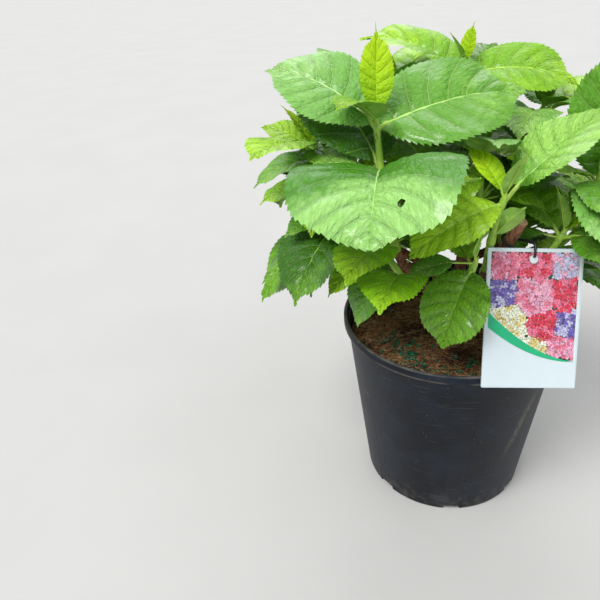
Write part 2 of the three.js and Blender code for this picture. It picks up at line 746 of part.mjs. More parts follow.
// True if each edge of a solid still lies between two of its faces when points that all but
// touch are taken as one
function isClosed(manifold) {
  const merged = mergeVertices(geometryOf(manifold), 1e-3);
  const corners = merged.getIndex().array;
  const edges = new Map();
  for (let i = 0; i < corners.length; i++) {
    const from = corners[i];
    const to = corners[i % 3 === 2 ? i - 2 : i + 1];
    const key = `${Math.min(from, to)} ${Math.max(from, to)}`;
    edges.set(key, (edges.get(key) ?? 0) + 1);
  }
  return [...edges.values()].every((count) => count === 2);
}

// The largest piece of a solid, without scraps that a cut left loose and with its closest
// points made one as far as it stays closed
function mainPiece(manifold) {
  const pieces = manifold.decompose();
  const main = pieces.reduce((best, one) => (one.volume() > best.volume() ? one : best));
  const merged = [1, 0.5, 0.2, 0.1].map((part) => solidOf(geometryOf(main), part * SLIVER));
  return merged.find(isClosed) ?? main;
}

// Stems leave the root crown, each cut clear of it and of the stems before it
function stems(shrub, crown) {
  const limbs = Object.entries(shrub.stems);
  return limbs.map(([name, one], i) => {
    const before = limbs.slice(0, i).map(([, other]) => limbSolid(other, STEM, CUT));
    const body = limbSolid(one, STEM).subtract(joined([crown, ...before]));
    return named(`stem_${name}`, mainPiece(body).simplify(SLIVER), "bark");
  });
}

function boughs(shrub, crown) {
  return SHOOTS.map(({ name, on }, i) => {
    const others = SHOOTS.slice(0, i).filter((row) => row.on === on);
    const cut = others.map((row) => limbSolid(shrub.boughs[row.name], BOUGH, CUT));
    const stem = limbSolid(shrub.stems[on], STEM, CUT);
    const body = limbSolid(shrub.boughs[name], BOUGH).subtract(joined([crown, stem, ...cut]));
    return named(`bough_${name}`, mainPiece(body).simplify(SLIVER), "bark");
  });
}

// A shoot with its leaves and side twigs in one piece, clear of the tip of its bough
function foliage(shrub, name) {
  const solids = [limbSolid(shrub.shoots[name], SHOOT)];
  for (const leaf of shrub.leaves.filter((one) => one.shoot === name)) {
    solids.push(leaf.stalk(), leaf.blade());
  }
  for (const twig of shrub.twigs.filter((one) => one.shoot === name)) {
    solids.push(tube(twig.points, twig.radii, STALK_SIDES));
  }
  const body = joined(solids).subtract(limbSolid(shrub.boughs[name], BOUGH, CUT));
  return named(`foliage_${name}`, mainPiece(body.asOriginal().simplify(2 * SLIVER)), "leaf");
}

// The card's local frame, as a matrix
function tagMatrix() {
  const { x, z, n } = tagAxes();
  return new THREE.Matrix4().makeBasis(x, z, n).setPosition(...TAG_MIDDLE);
}

function pictureTag() {
  const card = new THREE.BoxGeometry(TAG_WIDTH, TAG_HEIGHT, TAG_THICK);
  const hole = new THREE.CylinderGeometry(TAG_HOLE.radius, TAG_HOLE.radius, 4, 16);
  hole.rotateX(Math.PI / 2).translate(TAG_HOLE.u, TAG_HEIGHT / 2 - TAG_HOLE.down, 0);
  const place = tagMatrix();
  return solidOf(card.applyMatrix4(place)).subtract(solidOf(hole.applyMatrix4(place)));
}

// The tie: a loop through the card's hole, over its top edge and round the pruned stem
function tagTie(shrub) {
  const { z, n } = tagAxes();
  const hole = tagPoint(TAG_HOLE.u, TAG_HEIGHT / 2 - TAG_HOLE.down);
  const stem = shrub.stems.front;
  const middle = pointAlong(stem, TIE_PLACE);
  const along = pointAlong(stem, TIE_PLACE + 0.05).sub(middle).normalize();
  const toward = hole.clone().sub(middle);
  toward.addScaledVector(along, -toward.dot(along)).normalize();
  const across = along.clone().cross(toward);
  const bark = STEMS.front.radius * (1 - (1 - STEM_TAPER) * TIE_PLACE);
  const girth = bark + CUT + TIE_RADIUS;
  const round = spaced(75, 285, 7).map((turn) => {
    const a = radians(turn);
    const p = middle.clone().addScaledVector(toward, girth * Math.cos(a));
    return p.addScaledVector(across, girth * Math.sin(a));
  });
  const at = (up, out) => hole.clone().addScaledVector(z, up).addScaledVector(n, out);
  const rest = TAG_HOLE.radius - TIE_RADIUS - CUT;
  const line = [at(rest, 0), at(2.5, 3), at(7.5, 3.2), at(12.5, 1), ...round, at(2, -4)];
  const curve = new THREE.CatmullRomCurve3(line, true, "centripetal");
  const path = spaced(0, 1, TIE_STEPS + 1).slice(0, TIE_STEPS).map((t) => curve.getPoint(t));
  return ring(path, TIE_RADIUS, TIE_SIDES);
}

// A round cord along a closed line of points
function ring(points, radius, sides) {
  const count = points.length;
  const out = [];
  points.forEach((p, i) => {
    const t = points[(i + 1) % count].clone().sub(points[(i + count - 1) % count]).normalize();
    const side = vec(0.3, -0.2, 1).addScaledVector(t, -t.dot(vec(0.3, -0.2, 1))).normalize();
    const up = t.clone().cross(side);
    for (let k = 0; k < sides; k++) {
      const a = (2 * Math.PI * k) / sides;
      const edge = p.clone().addScaledVector(side, radius * Math.cos(a));
      out.push(edge.addScaledVector(up, radius * Math.sin(a)));
    }
  });
  const faces = [];
  for (let i = 0; i < count; i++) {
    for (let k = 0; k < sides; k++) {
      const next = (k + 1) % sides;
      const a = i * sides;
      const b = ((i + 1) % count) * sides;
      faces.push([a + k, a + next, b + next], [a + k, b + next, b + k]);
    }
  }
  return solid(out, faces);
}

const shrub = new Shrub();
const grownCrown = rootCrown(CROWN_CUT);
const part = new THREE.Group();
part.name = "potted_hydrangea";
part.add(
  named("pot", pot(), "pot"),
  named("potting_mix", pottingMix(), "mix"),
  named("coir_mulch", coirMulch(), "mulch"),
  named("root_crown", rootCrown(), "bark"),
  ...stems(shrub, grownCrown),
  ...boughs(shrub, grownCrown),
  ...SHOOTS.map(({ name }) => foliage(shrub, name)),
  named("picture_tag", pictureTag(), "card"),
  named("tag_tie", tagTie(shrub), "tie"),
);

export default part;
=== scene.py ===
"""A young hydrangea shrub in its round nursery pot, with its picture tag, dressed for a render.

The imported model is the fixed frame. Sizes are in millimetres in the classes below and become
metres when a mesh is made. The leaves grow by the rule that made the solids, from the same sizes.
"""

from __future__ import annotations

import logging
import math
from collections.abc import Iterator, Sequence
from dataclasses import dataclass, field, replace
from enum import Enum, IntEnum
from itertools import product

import bpy
import numpy as np
from mathutils import Matrix, Vector


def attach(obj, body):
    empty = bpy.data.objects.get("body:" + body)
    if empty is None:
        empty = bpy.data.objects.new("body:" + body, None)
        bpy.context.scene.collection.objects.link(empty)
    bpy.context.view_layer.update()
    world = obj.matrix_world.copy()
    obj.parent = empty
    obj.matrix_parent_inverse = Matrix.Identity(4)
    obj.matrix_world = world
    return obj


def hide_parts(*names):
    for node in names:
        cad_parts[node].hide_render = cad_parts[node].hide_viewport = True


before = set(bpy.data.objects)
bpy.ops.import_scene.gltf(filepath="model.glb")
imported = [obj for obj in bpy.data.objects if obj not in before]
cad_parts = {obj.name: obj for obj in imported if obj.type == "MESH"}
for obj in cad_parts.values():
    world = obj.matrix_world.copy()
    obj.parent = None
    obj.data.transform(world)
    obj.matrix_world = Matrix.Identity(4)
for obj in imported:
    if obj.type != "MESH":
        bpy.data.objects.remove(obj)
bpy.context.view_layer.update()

MM = 0.001
log = logging.getLogger("hydrangea")

Array = np.ndarray
Colour = tuple[float, float, float]
Material = bpy.types.Material
Piece = bpy.types.Object
Socket = bpy.types.NodeSocket


# Shader maths


class Mask:
    """A number that changes over a surface, with Python's operators as Math nodes."""

    def __init__(self, shader: Shader, socket: Socket) -> None:
        """Wraps a number that a node of the shader gives."""
        self.shader = shader
        self.socket = socket

    def math(self, operation: str, *values: Mask | float) -> Mask:
        """A Math node's output for these values."""
        inputs = {i: v.socket if isinstance(v, Mask) else v for i, v in enumerate(values)}
        return self.shader.mask("ShaderNodeMath", {"operation": operation}, inputs)

    def __add__(self, other: Mask | float) -> Mask:
        """The sum."""
        return self.math("ADD", self, other)

    def __sub__(self, other: Mask | float) -> Mask:
        """The difference."""
        return self.math("SUBTRACT", self, other)

    def __mul__(self, other: Mask | float) -> Mask:
        """The product."""
        return self.math("MULTIPLY", self, other)

    def __truediv__(self, other: Mask | float) -> Mask:
        """The quotient."""
        return self.math("DIVIDE", self, other)

    def __rsub__(self, other: float) -> Mask:
        """The difference from a plain number."""
        return self.math("SUBTRACT", other, self)

    __radd__ = __add__
    __rmul__ = __mul__

    def __abs__(self) -> Mask:
        """The size without its sign."""
        return self.math("ABSOLUTE", self)

    def between(self, low: float, high: float) -> Mask:
        """How far the number has come from low to high, from 0 to 1, with soft ends."""
        inputs = {"Value": self.socket, "From Min": low, "From Max": high}
        return self.shader.mask("ShaderNodeMapRange", {"interpolation_type": "SMOOTHSTEP"}, inputs, "Result")


class Cells(Enum):
    """What a pattern of scattered cells gives the distance to."""

    MIDDLES = "F1"
    EDGES = "DISTANCE_TO_EDGE"


class Shader:
    """A material's node tree round one Principled surface."""

    COLOURS_IN = (6, 7)
    COLOUR_OUT = 2

    def __init__(self, name: str) -> None:
        """Makes a material of that name with a bare surface.

        Args:
            name: the material's name.
        """
        self.material = bpy.data.materials.new(name)
        self.material.use_nodes = True
        self.tree = self.material.node_tree
        self.surface = self.tree.nodes["Principled BSDF"]

    def node(self, kind: str, settings: dict[str, object], inputs: dict[int | str, object]) -> bpy.types.Node:
        """Adds a node.

        Args:
            kind: the node's type.
            settings: the node's own settings, which are set first.
            inputs: values or sockets for its inputs, by name or number.

        Returns:
            The node.
        """
        made = self.tree.nodes.new(kind)
        for key, value in settings.items():
            setattr(made, key, value)
        for key, value in inputs.items():
            if isinstance(value, Socket):
                self.tree.links.new(value, made.inputs[key])
            else:
                made.inputs[key].default_value = value
        return made

    def mask(
        self, kind: str, settings: dict[str, object], inputs: dict[int | str, object], output: int | str = 0
    ) -> Mask:
        """A new node's output as a number."""
        return Mask(self, self.node(kind, settings, inputs).outputs[output])

    def place(self, scale: Sequence[float] = (1, 1, 1)) -> Socket:
        """Object coordinates, scaled along each axis."""
        where = self.node("ShaderNodeTexCoord", {}, {}).outputs["Object"]
        return self.node("ShaderNodeMapping", {}, {"Vector": where, "Scale": scale}).outputs[0]

    def uv(self, scale: Sequence[float] = (1, 1, 1)) -> Socket:
        """The piece's own UV coordinates, scaled along each axis."""
        where = self.node("ShaderNodeUVMap", {"uv_map": "surface"}, {}).outputs[0]
        return self.node("ShaderNodeMapping", {}, {"Vector": where, "Scale": scale}).outputs[0]

    def attribute(self, name: str) -> Mask:
        """A number that the piece's mesh carries."""
        return self.mask("ShaderNodeAttribute", {"attribute_name": name}, {}, "Fac")

    def bent(self, where: Socket, scale: float, size: float) -> Socket:
        """Coordinates pushed about by soft noise.

        Args:
            where: the coordinates.
            scale: how fine the noise is.
            size: how far it pushes them.

        Returns:
            The coordinates.
        """
        inputs = {"Vector": where, "Scale": scale, "Detail": 2}
        push = self.node("ShaderNodeTexNoise", {}, inputs).outputs["Color"]
        inputs = {0: push, 1: (size, size, 0), 2: where}
        return self.node("ShaderNodeVectorMath", {"operation": "MULTIPLY_ADD"}, inputs).outputs[0]

    def noise(self, where: Socket, scale: float, detail: float = 3, rough: float = 0.5) -> Mask:
        """Soft noise from 0 to 1, finer by scale, with detail finer layers as strong as rough."""
        inputs = {"Vector": where, "Scale": scale, "Detail": detail, "Roughness": rough}
        return self.mask("ShaderNodeTexNoise", {}, inputs)

    def cells(self, where: Socket, scale: float, what: Cells = Cells.MIDDLES) -> Mask:
        """The distance to the nearest middle or edge of scattered cells, which are finer by scale."""
        inputs = {"Vector": where, "Scale": scale}
        return self.mask("ShaderNodeTexVoronoi", {"feature": what.value}, inputs, "Distance")

    def axes(self, where: Socket) -> tuple[Mask, Mask, Mask]:
        """The x, y and z of a place."""
        parts = self.node("ShaderNodeSeparateXYZ", {}, {"Vector": where})
        return tuple(Mask(self, parts.outputs[i]) for i in range(3))

    def mix(self, share: Mask, low: Colour | Socket, high: Colour | Socket) -> Socket:
        """Mixes two colours.

        Args:
            share: how much of high there is.
            low: the colour where share is 0.
            high: the colour where share is 1.

        Returns:
            The mixed colour.
        """
        ends = [end if isinstance(end, Socket) else (*end, 1.0) for end in (low, high)]
        inputs = {0: share.socket, **dict(zip(self.COLOURS_IN, ends))}
        return self.node("ShaderNodeMix", {"data_type": "RGBA"}, inputs).outputs[self.COLOUR_OUT]

    def set(self, **values: float | Mask | Socket) -> None:
        """Sets inputs of the surface.

        Args:
            values: the value or link of each input, named with _ for a space.
        """
        for key, value in values.items():
            socket = self.surface.inputs[key.replace("_", " ")]
            if isinstance(value, Mask):
                value = value.socket
            if isinstance(value, Socket):
                self.tree.links.new(value, socket)
            else:
                socket.default_value = value

    def relief(self, *layers: tuple[Mask, float]) -> None:
        """Gives the surface its fine relief.

        Args:
            layers: each height, from 0 to 1, with what it measures at 1, in metres.
        """
        normal = None
        for height, size in layers:
            inputs = {"Height": height.socket, "Distance": size, "Strength": 1.0}
            if normal is not None:
                inputs["Normal"] = normal
            normal = self.node("ShaderNodeBump", {}, inputs).outputs[0]
        self.tree.links.new(normal, self.surface.inputs["Normal"])


# Finishes


@dataclass(frozen=True)
class LeafFinish:
    """The upper face of a leaf of one age: paler towards its tip, partly its own tone and partly painted
    sheen, with veins, a net of creases darkened as painted shade, and a film of water in patches."""

    name: str
    deep: Colour
    light: Colour
    rib: Colour
    rough: float = 0.40
    net: float = 0.0005
    coat: float = 0.5
    veins: int = 8
    vein_shift: float = 0.35
    vein_share: float = 0.24
    vein_relief: float = 0.0003
    # How much paler the blade grows towards its tip: partly the leaf's own tone, partly painted sheen of the
    # sky
    fade: float = 0.72
    fade_from: float = 0.47
    # depth and crease_shade set how strong and how dark the painted shade in the creases and beside the veins
    # is
    depth: float = 1.0
    crease_shade: float = 0.6
    net_scale: float = 0.20
    fine_scale: float = 0.52
    coat_rough: float = 0.14
    gloss: float = 0.3

    def make(self) -> Material:
        """Makes the material.

        Returns:
            The material.
        """
        s = Shader(self.name)
        across, along, _ = s.axes(s.uv())
        tint = s.attribute("tint")
        off = abs(across)
        phase = self.veins * along + self.vein_shift * across.between(-0.0004, 0.0004)
        from_vein = abs(phase.math("FRACT", phase) - 0.5)
        vein = (from_vein / (0.05 - 0.085 * off)).between(1.5, 0.3) * along.between(0.0, 0.06)
        near_vein = from_vein.between(0.26, 0.04)
        where = s.uv((100, 100, 1))
        bent = s.bent(where, 0.5, 0.9)
        scales = (self.net_scale, self.fine_scale)
        net, fine = (s.cells(bent, scale, Cells.EDGES).between(0.0, 0.30) for scale in scales)
        patch = s.noise(s.place(), 38, 4, 0.6)
        grain = s.noise(s.place(), 420, 2)
        # Paler towards the tip: partly the leaf's own tone, partly painted sheen of the sky
        share = 1.1 * patch + 0.5 * tint + self.fade * (along - self.fade_from) - 0.45
        tone = s.mix(share.between(0.1, 0.6), self.deep, self.light)
        # Painted shade: the creases of the net and the grooves beside the veins darken towards a darker copy
        # of the deep colour
        dark = tuple(self.crease_shade * c for c in self.deep)
        painted_crease_shade = (1 - net) * 0.16 + (1 - fine) * 0.12 + near_vein * 0.22
        tone = s.mix(painted_crease_shade * self.depth, tone, dark)
        s.set(Base_Color=s.mix(vein * self.vein_share, tone, self.rib))
        wet = s.noise(s.place(), 26, 3, 0.6).between(0.42, 0.6)
        dry = self.rough + 0.20 * patch - 0.10 + 0.08 * grain
        s.set(Roughness=dry - 0.10 * wet, Coat_Weight=wet * self.coat, Coat_Roughness=self.coat_rough)
        s.set(Specular_IOR_Level=self.gloss)
        s.relief((net, self.net), (fine, 0.4 * self.net), (1 - vein, self.vein_relief), (grain, 0.00004))
        return s.material


@dataclass(frozen=True)
class PlainLeafFinish:
    """A leaf's ribs, its pale lower face, its stalk or a young shoot."""

    name: str
    deep: Colour
    light: Colour
    rough: float = 0.5
    specks: Colour | None = None

    def make(self) -> Material:
        """Makes the material.

        Returns:
            The material.
        """
        s = Shader(self.name)
        tone = s.mix(s.noise(s.place(), 90, 2).between(0.3, 0.7), self.deep, self.light)
        if self.specks:
            dots = s.cells(s.place((1, 1, 0.35)), 520).between(0.32, 0.2)
            share = dots * s.noise(s.place(), 45, 1).between(0.42, 0.6)
            tone = s.mix(share * 0.8, tone, self.specks)
        s.set(Base_Color=tone, Roughness=self.rough)
        s.relief((s.noise(s.place((1, 1, 0.3)), 700, 2), 0.00012))
        return s.material


def rib_of(leaf: LeafFinish) -> PlainLeafFinish:
    """The finish of a leaf's midrib, between the leaf's colour and that of its veins.

    Args:
        leaf: the finish of the leaf.

    Returns:
        The midrib's.
    """
    tone = tuple(0.25 * a + 0.75 * b for a, b in zip(leaf.light, leaf.rib))
    dark = tuple(0.8 * c for c in tone)
    return PlainLeafFinish(f"{leaf.name}_rib", dark, tone, rough=0.45)


@dataclass(frozen=True)
class BarkFinish:
    """Thin brown bark that peels along the stem."""

    name: str = "bark"
    deep: Colour = (0.085, 0.026, 0.012)
    light: Colour = (0.36, 0.16, 0.075)
    grey: Colour = (0.30, 0.22, 0.16)

    def make(self) -> Material:
        """Makes the material.

        Returns:
            The material.
        """
        s = Shader(self.name)
        strips = s.noise(s.place((1, 1, 0.16)), 420, 4, 0.6)
        patch = s.noise(s.place(), 75, 3)
        tone = s.mix(strips.between(0.34, 0.68), self.deep, self.light)
        tone = s.mix(patch.between(0.52, 0.72) * 0.55, tone, self.grey)
        s.set(Base_Color=tone, Roughness=0.78 + 0.15 * patch)
        s.relief((strips, 0.0009), (s.noise(s.place(), 1500, 2), 0.00012))
        return s.material


@dataclass(frozen=True)
class PotFinish:
    """Dark moulded plastic, dusty and scuffed by use, with pale marks that are partly painted highlight and
    reflection.
    """

    name: str = "nursery_plastic"
    deep: Colour = (0.0016, 0.0034, 0.0078)
    worn: Colour = (0.011, 0.0165, 0.027)
    dust_and_sheen: Colour = (0.26, 0.23, 0.19)
    streak_from: tuple[float, float] = (0.048, 0.028)
    streak_middle: tuple[float, float] = (0.06, 0.072)
    streak_slope: float = 3.6
    streak_foot: tuple[float, float] = (0.055, 0.08)
    streak_top: tuple[float, float] = (0.152, 0.12)
    foot: float = 0.034
    ledge: tuple[float, ...] = (0.1725, 0.1738, 0.1765, 0.1742)
    lip: tuple[float, float] = (0.1805, 0.1818)

    def make(self) -> Material:
        """Makes the material.

        Returns:
            The material.
        """
        s = Shader(self.name)
        cloud = s.noise(s.place(), 24, 5, 0.6)
        grain = s.noise(s.place(), 900, 2)
        specks = s.cells(s.place(), 170).between(0.16, 0.06)
        sparse = s.noise(s.place(), 55, 2).between(0.5, 0.62)
        scratch = s.noise(s.place((1, 1, 9)), 48, 2).between(0.6, 0.74)
        x, y, z = s.axes(s.place())
        # A pale streak across the right front, in the dust colour: partly a scrape, partly a painted
        # reflection band
        right, front = self.streak_from
        part = x.between(right, right + 0.022) * (0.0 - y).between(front, front + 0.022)
        x_middle, z_middle = self.streak_middle
        wander = 0.02 * s.noise(s.place(), 30, 2)
        line = abs(z - z_middle - (x - x_middle) * self.streak_slope - wander).between(0.016, 0.002)
        streak_strands = s.noise(s.place((1, 1, 0.4)), 420, 3).between(0.25, 0.7)
        streak = part * line * z.between(*self.streak_foot) * z.between(*self.streak_top) * streak_strands
        foot = z.between(self.foot, 0.0) * s.noise(s.place(), 120, 4).between(0.42, 0.68)
        # Pale lines along the band's lower edge and the lip, in the dust colour: partly dust, partly painted
        # highlight where the edges catch light
        ledge = z.between(*self.ledge[:2]) * z.between(*self.ledge[2:])
        edge = ledge * s.noise(s.place(), 60, 3).between(0.3, 0.6)
        lip = z.between(*self.lip) * s.noise(s.place(), 44, 3).between(0.3, 0.6)
        tone = s.mix(cloud.between(0.35, 0.7), self.deep, self.worn)
        tone = s.mix(scratch * 0.08 + specks * sparse * 0.3, tone, self.dust_and_sheen)
        tone = s.mix(streak * 0.6 + foot * 0.2 + edge * 0.45 + lip * 0.35, tone, self.dust_and_sheen)
        s.set(Base_Color=tone, Roughness=0.38 + 0.22 * cloud + 0.2 * streak)
        s.set(Specular_IOR_Level=0.2)
        s.relief((grain, 0.00005), (scratch, 0.00004), (cloud, 0.0004))
        return s.material


@dataclass(frozen=True)
class FibreFinish:
    """Dry brown coir, or the dark bed under it."""

    name: str
    deep: Colour
    light: Colour

    def make(self) -> Material:
        """Makes the material.

        Returns:
            The material.
        """
        s = Shader(self.name)
        share = s.noise(s.place(), 260, 3, 0.6)
        s.set(Base_Color=s.mix(share.between(0.34, 0.66), self.deep, self.light), Roughness=0.9)
        s.relief((s.noise(s.place(), 900, 3, 0.7), 0.0010))
        return s.material


@dataclass(frozen=True)
class PlainFinish:
    """A printed ink, a card, a cut face, a granule or a cord."""

    name: str
    colour: Colour
    rough: float = 0.45
    shade: float = 0.12
    scale: float = 160
    relief: float = 0.00003

    def make(self) -> Material:
        """Makes the material.

        Returns:
            The material.
        """
        s = Shader(self.name)
        dark = tuple((1 - self.shade) * c for c in self.colour)
        share = s.noise(s.place(), self.scale, 3)
        s.set(Base_Color=s.mix(share.between(0.3, 0.7), dark, self.colour), Roughness=self.rough)
        s.relief((share, self.relief))
        return s.material


class Age(IntEnum):
    """How old a leaf looks, in the order of the materials in its piece."""

    YOUNG = 0
    FRESH = 1
    GREEN = 2
    DEEP = 3
    PALE = 4
    # The broad heart leaf, whose paler tip half is painted sheen of the sky
    BROAD = 5


class Ink(IntEnum):
    """The inks of the card's print, in the order of its materials."""

    RED = 0
    PINK = 1
    VIOLET = 2
    ROSE = 3
    LILAC = 4
    CREAM = 5
    YELLOW = 6
    GROUND = 7
    LEAF = 8
    BAND = 9


LEAF_FINISHES = {
    Age.YOUNG: LeafFinish(
        "leaf_young", (0.27, 0.53, 0.002), (0.45, 0.71, 0.004), (0.50, 0.74, 0.03),
        rough=0.5, net=0.0003, coat=0.05, depth=0.45,
    ),
    Age.FRESH: LeafFinish("leaf_fresh", (0.18, 0.43, 0.005), (0.40, 0.70, 0.024), (0.52, 0.76, 0.11), 0.38),
    Age.GREEN: LeafFinish("leaf_green", (0.105, 0.31, 0.016), (0.31, 0.60, 0.095), (0.46, 0.70, 0.19), 0.36),
    Age.DEEP: LeafFinish(
        "leaf_deep", (0.035, 0.14, 0.002), (0.18, 0.44, 0.014), (0.34, 0.56, 0.09), rough=0.32, coat=0.75
    ),
    # Pale bluish green: partly the leaves' own paler tone, partly painted sheen of the sky
    Age.PALE: LeafFinish("leaf_pale", (0.17, 0.42, 0.065), (0.39, 0.67, 0.21), (0.56, 0.78, 0.32), 0.38),
    # The heart leaf: fade 3.0 makes its tip half far paler and bluer than its dark base, a painted sheen of
    # the sky
    Age.BROAD: LeafFinish(
        "leaf_broad", (0.06, 0.23, 0.008), (0.31, 0.60, 0.15), (0.48, 0.72, 0.25), rough=0.34, fade=3.0
    ),
}
UNDERSIDE = PlainLeafFinish("leaf_underside", (0.20, 0.42, 0.05), (0.33, 0.56, 0.10), 0.6)
GREEN_SHOOT = PlainLeafFinish(
    "green_shoot", (0.22, 0.42, 0.03), (0.34, 0.56, 0.06), rough=0.45, specks=(0.10, 0.055, 0.03)
)
STALK = PlainLeafFinish("leaf_stalk", (0.26, 0.46, 0.045), (0.42, 0.60, 0.09), 0.42)
CUT_WOOD = PlainFinish("cut_wood", (0.34, 0.22, 0.12), 0.8, 0.4, 420, 0.0003)
MULCH_BED = FibreFinish("coir_bed", (0.07, 0.03, 0.012), (0.27, 0.12, 0.045))
FIBRES = (
    FibreFinish("coir_brown", (0.28, 0.12, 0.042), (0.60, 0.30, 0.13)),
    FibreFinish("coir_tan", (0.42, 0.25, 0.13), (0.66, 0.45, 0.27)),
    FibreFinish("coir_dark", (0.05, 0.024, 0.014), (0.15, 0.072, 0.034)),
)
GRANULES = (
    PlainFinish("granule_green", (0.010, 0.17, 0.075), 0.38, 0.4, 700),
    PlainFinish("granule_deep", (0.006, 0.085, 0.045), 0.42, 0.4, 700),
)
POTTING_MIX = FibreFinish("potting_mix", (0.012, 0.008, 0.006), (0.06, 0.036, 0.022))
CARD = PlainFinish("tag_card", (0.62, 0.71, 0.75), 0.35, 0.03, 60)
CORD = PlainFinish("tag_cord", (0.012, 0.012, 0.014), 0.45, 0.3, 500, 0.0001)
INKS = {
    Ink.RED: PlainFinish("ink_red", (0.76, 0.045, 0.10), 0.35, 0.35, 420),
    Ink.PINK: PlainFinish("ink_pink", (0.86, 0.20, 0.33), 0.35, 0.35, 420),
    Ink.VIOLET: PlainFinish("ink_violet", (0.18, 0.13, 0.50), 0.35, 0.4, 420),
    Ink.ROSE: PlainFinish("ink_rose", (0.88, 0.42, 0.60), 0.35, 0.3, 420),
    Ink.LILAC: PlainFinish("ink_lilac", (0.56, 0.54, 0.80), 0.35, 0.3, 420),
    Ink.CREAM: PlainFinish("ink_cream", (0.84, 0.85, 0.68), 0.35, 0.2, 420),
    Ink.YELLOW: PlainFinish("ink_yellow", (0.74, 0.62, 0.24), 0.35, 0.2, 420),
    Ink.GROUND: PlainFinish("ink_ground", (0.03, 0.07, 0.035), 0.35, 0.4, 300),
    Ink.LEAF: PlainFinish("ink_leaf", (0.05, 0.16, 0.055), 0.35, 0.4, 300),
    Ink.BAND: PlainFinish("ink_band", (0.012, 0.44, 0.20), 0.35, 0.1, 200),
}
FLOOR = PlainFinish("pale_floor", (0.47, 0.465, 0.455), 0.85, 0.03, 6, 0.0)


# The growth rule


class Dice:
    """Seeded numbers."""

    PRIME = 2147483647
    SPREAD = 7919
    FACTOR = 48271

    def __init__(self, seed: int) -> None:
        """Starts the row of numbers that belongs to a seed.

        Args:
            seed: a whole number.
        """
        self.state = seed * self.SPREAD % self.PRIME
        for _ in range(3):
            self.roll()

    def roll(self) -> float:
        """The next number, from 0 to 1."""
        self.state = self.state * self.FACTOR % self.PRIME
        return self.state / self.PRIME

    def span(self, low: float, high: float) -> float:
        """The next number, from low to high."""
        return low + (high - low) * self.roll()


def dot(a: Array, b: Array) -> Array:
    """The dot products of rows of vectors."""
    return np.einsum("...i,...i->...", a, b)


def cross(a: Array, b: Array) -> Array:
    """The cross products of rows of vectors.

    Args:
        a: vectors, or one for all.
        b: vectors.

    Returns:
        The products.
    """
    x = a[..., 1] * b[..., 2] - a[..., 2] * b[..., 1]
    y = a[..., 2] * b[..., 0] - a[..., 0] * b[..., 2]
    return np.stack([x, y, a[..., 0] * b[..., 1] - a[..., 1] * b[..., 0]], -1)


def unit(a: Array) -> Array:
    """Vectors made 1 long."""
    return a / np.sqrt(dot(a, a))[..., None]


def heading(az: float, rise: float) -> Array:
    """The direction that points az degrees round from +X and rises by rise degrees."""
    a, r = math.radians(az), math.radians(rise)
    return np.array([math.cos(r) * math.cos(a), math.cos(r) * math.sin(a), math.sin(r)])


def polar(az: float, reach: float, z: float) -> Array:
    """The point at az degrees round the pot, reach from its axis, at height z."""
    return np.array([reach * math.cos(math.radians(az)), reach * math.sin(math.radians(az)), z])


@dataclass(frozen=True)
class StemRow:
    """Where a woody stem ends, and its thickness."""

    az: float
    reach: float
    z: float
    radius: float


@dataclass(frozen=True)
class ShootRow:
    """A leafy shoot: the stem and the place on it that its bough leaves, its two ends as
    degrees, reach and height, its leaf pairs, the heading of its top full pair and the length
    of a full leaf."""

    name: str
    on: str
    place: float
    start: tuple[float, float, float]
    tip: tuple[float, float, float]
    pairs: int
    turn: float
    leaf: float


STEMS = {
    "front": StemRow(-41, 62, 292, 5.8),
    "left": StemRow(208, 46, 238, 5.6),
    "back_left": StemRow(130, 48, 240, 5.2),
    "right": StemRow(10, 50, 236, 5.4),
    "back": StemRow(78, 34, 252, 5.4),
}
SHOOTS = (
    ShootRow("front_left", "left", 1, (220, 62, 262), (216, 78, 368), 5, 8, 108),
    ShootRow("front_right", "front", 0.5, (-54, 43, 246), (-62, 66, 317), 4, 35, 96),
    ShootRow("top", "back", 1, (85, 42, 266), (94, 54, 384), 5, 172, 108),
    ShootRow("left", "left", 0.62, (190, 74, 252), (185, 122, 338), 5, 85, 84),
    ShootRow("right", "right", 1, (4, 66, 246), (0, 104, 312), 4, 60, 108),
    ShootRow("front_low", "front", 0.36, (-78, 48, 226), (-76, 62, 264), 2, -105, 84),
    ShootRow("right_back", "right", 0.6, (44, 58, 258), (48, 94, 348), 5, 20, 84),
    ShootRow("right_front", "right", 0.75, (-18, 60, 238), (-16, 84, 276), 3, -60, 96),
    ShootRow("centre", "back", 0.55, (-20, 14, 262), (-20, 15, 334), 3, 120, 78),
    ShootRow("left_back", "back_left", 0.6, (162, 70, 240), (160, 116, 316), 4, 30, 104),
    ShootRow("back_left", "back_left", 1, (135, 62, 262), (136, 90, 362), 5, 60, 108),
    ShootRow("back", "back", 0.75, (100, 62, 246), (102, 118, 336), 5, 2, 106),
    ShootRow("back_right", "back", 0.6, (46, 62, 232), (56, 112, 296), 4, 140, 104),
    ShootRow("left_low", "left", 0.7, (236, 58, 232), (232, 92, 284), 3, 145, 100),
    ShootRow("back_low", "back_left", 0.75, (124, 66, 226), (124, 108, 262), 3, 35, 104),
    ShootRow("right_low", "right", 0.55, (20, 70, 222), (22, 112, 250), 3, 110, 100),
)


@dataclass
class LeafRow:
    """How a leaf sits on its shoot and how its blade is shaped. Where light is set, it is how light the
    leaf's colour is;
    above 1 it lifts the colour of a leaf in shade as painted light. Each hole is a place along and across the
    blade."""

    level: int
    side: int
    az: float
    rise: float
    length: float
    droop: float = 35
    wide: float = 0.7
    roll: float = 0
    fold: float = 12
    petiole: float = 14
    blunt: float = 0
    age: Age | None = None
    light: float | None = None
    holes: tuple[tuple[float, float], ...] = ()


# Holes that insects have eaten, as places along and across a blade
ONE_HOLE = ((0.60, -0.66),)
TWO_HOLES = ((0.52, -0.4), (0.62, -0.66))
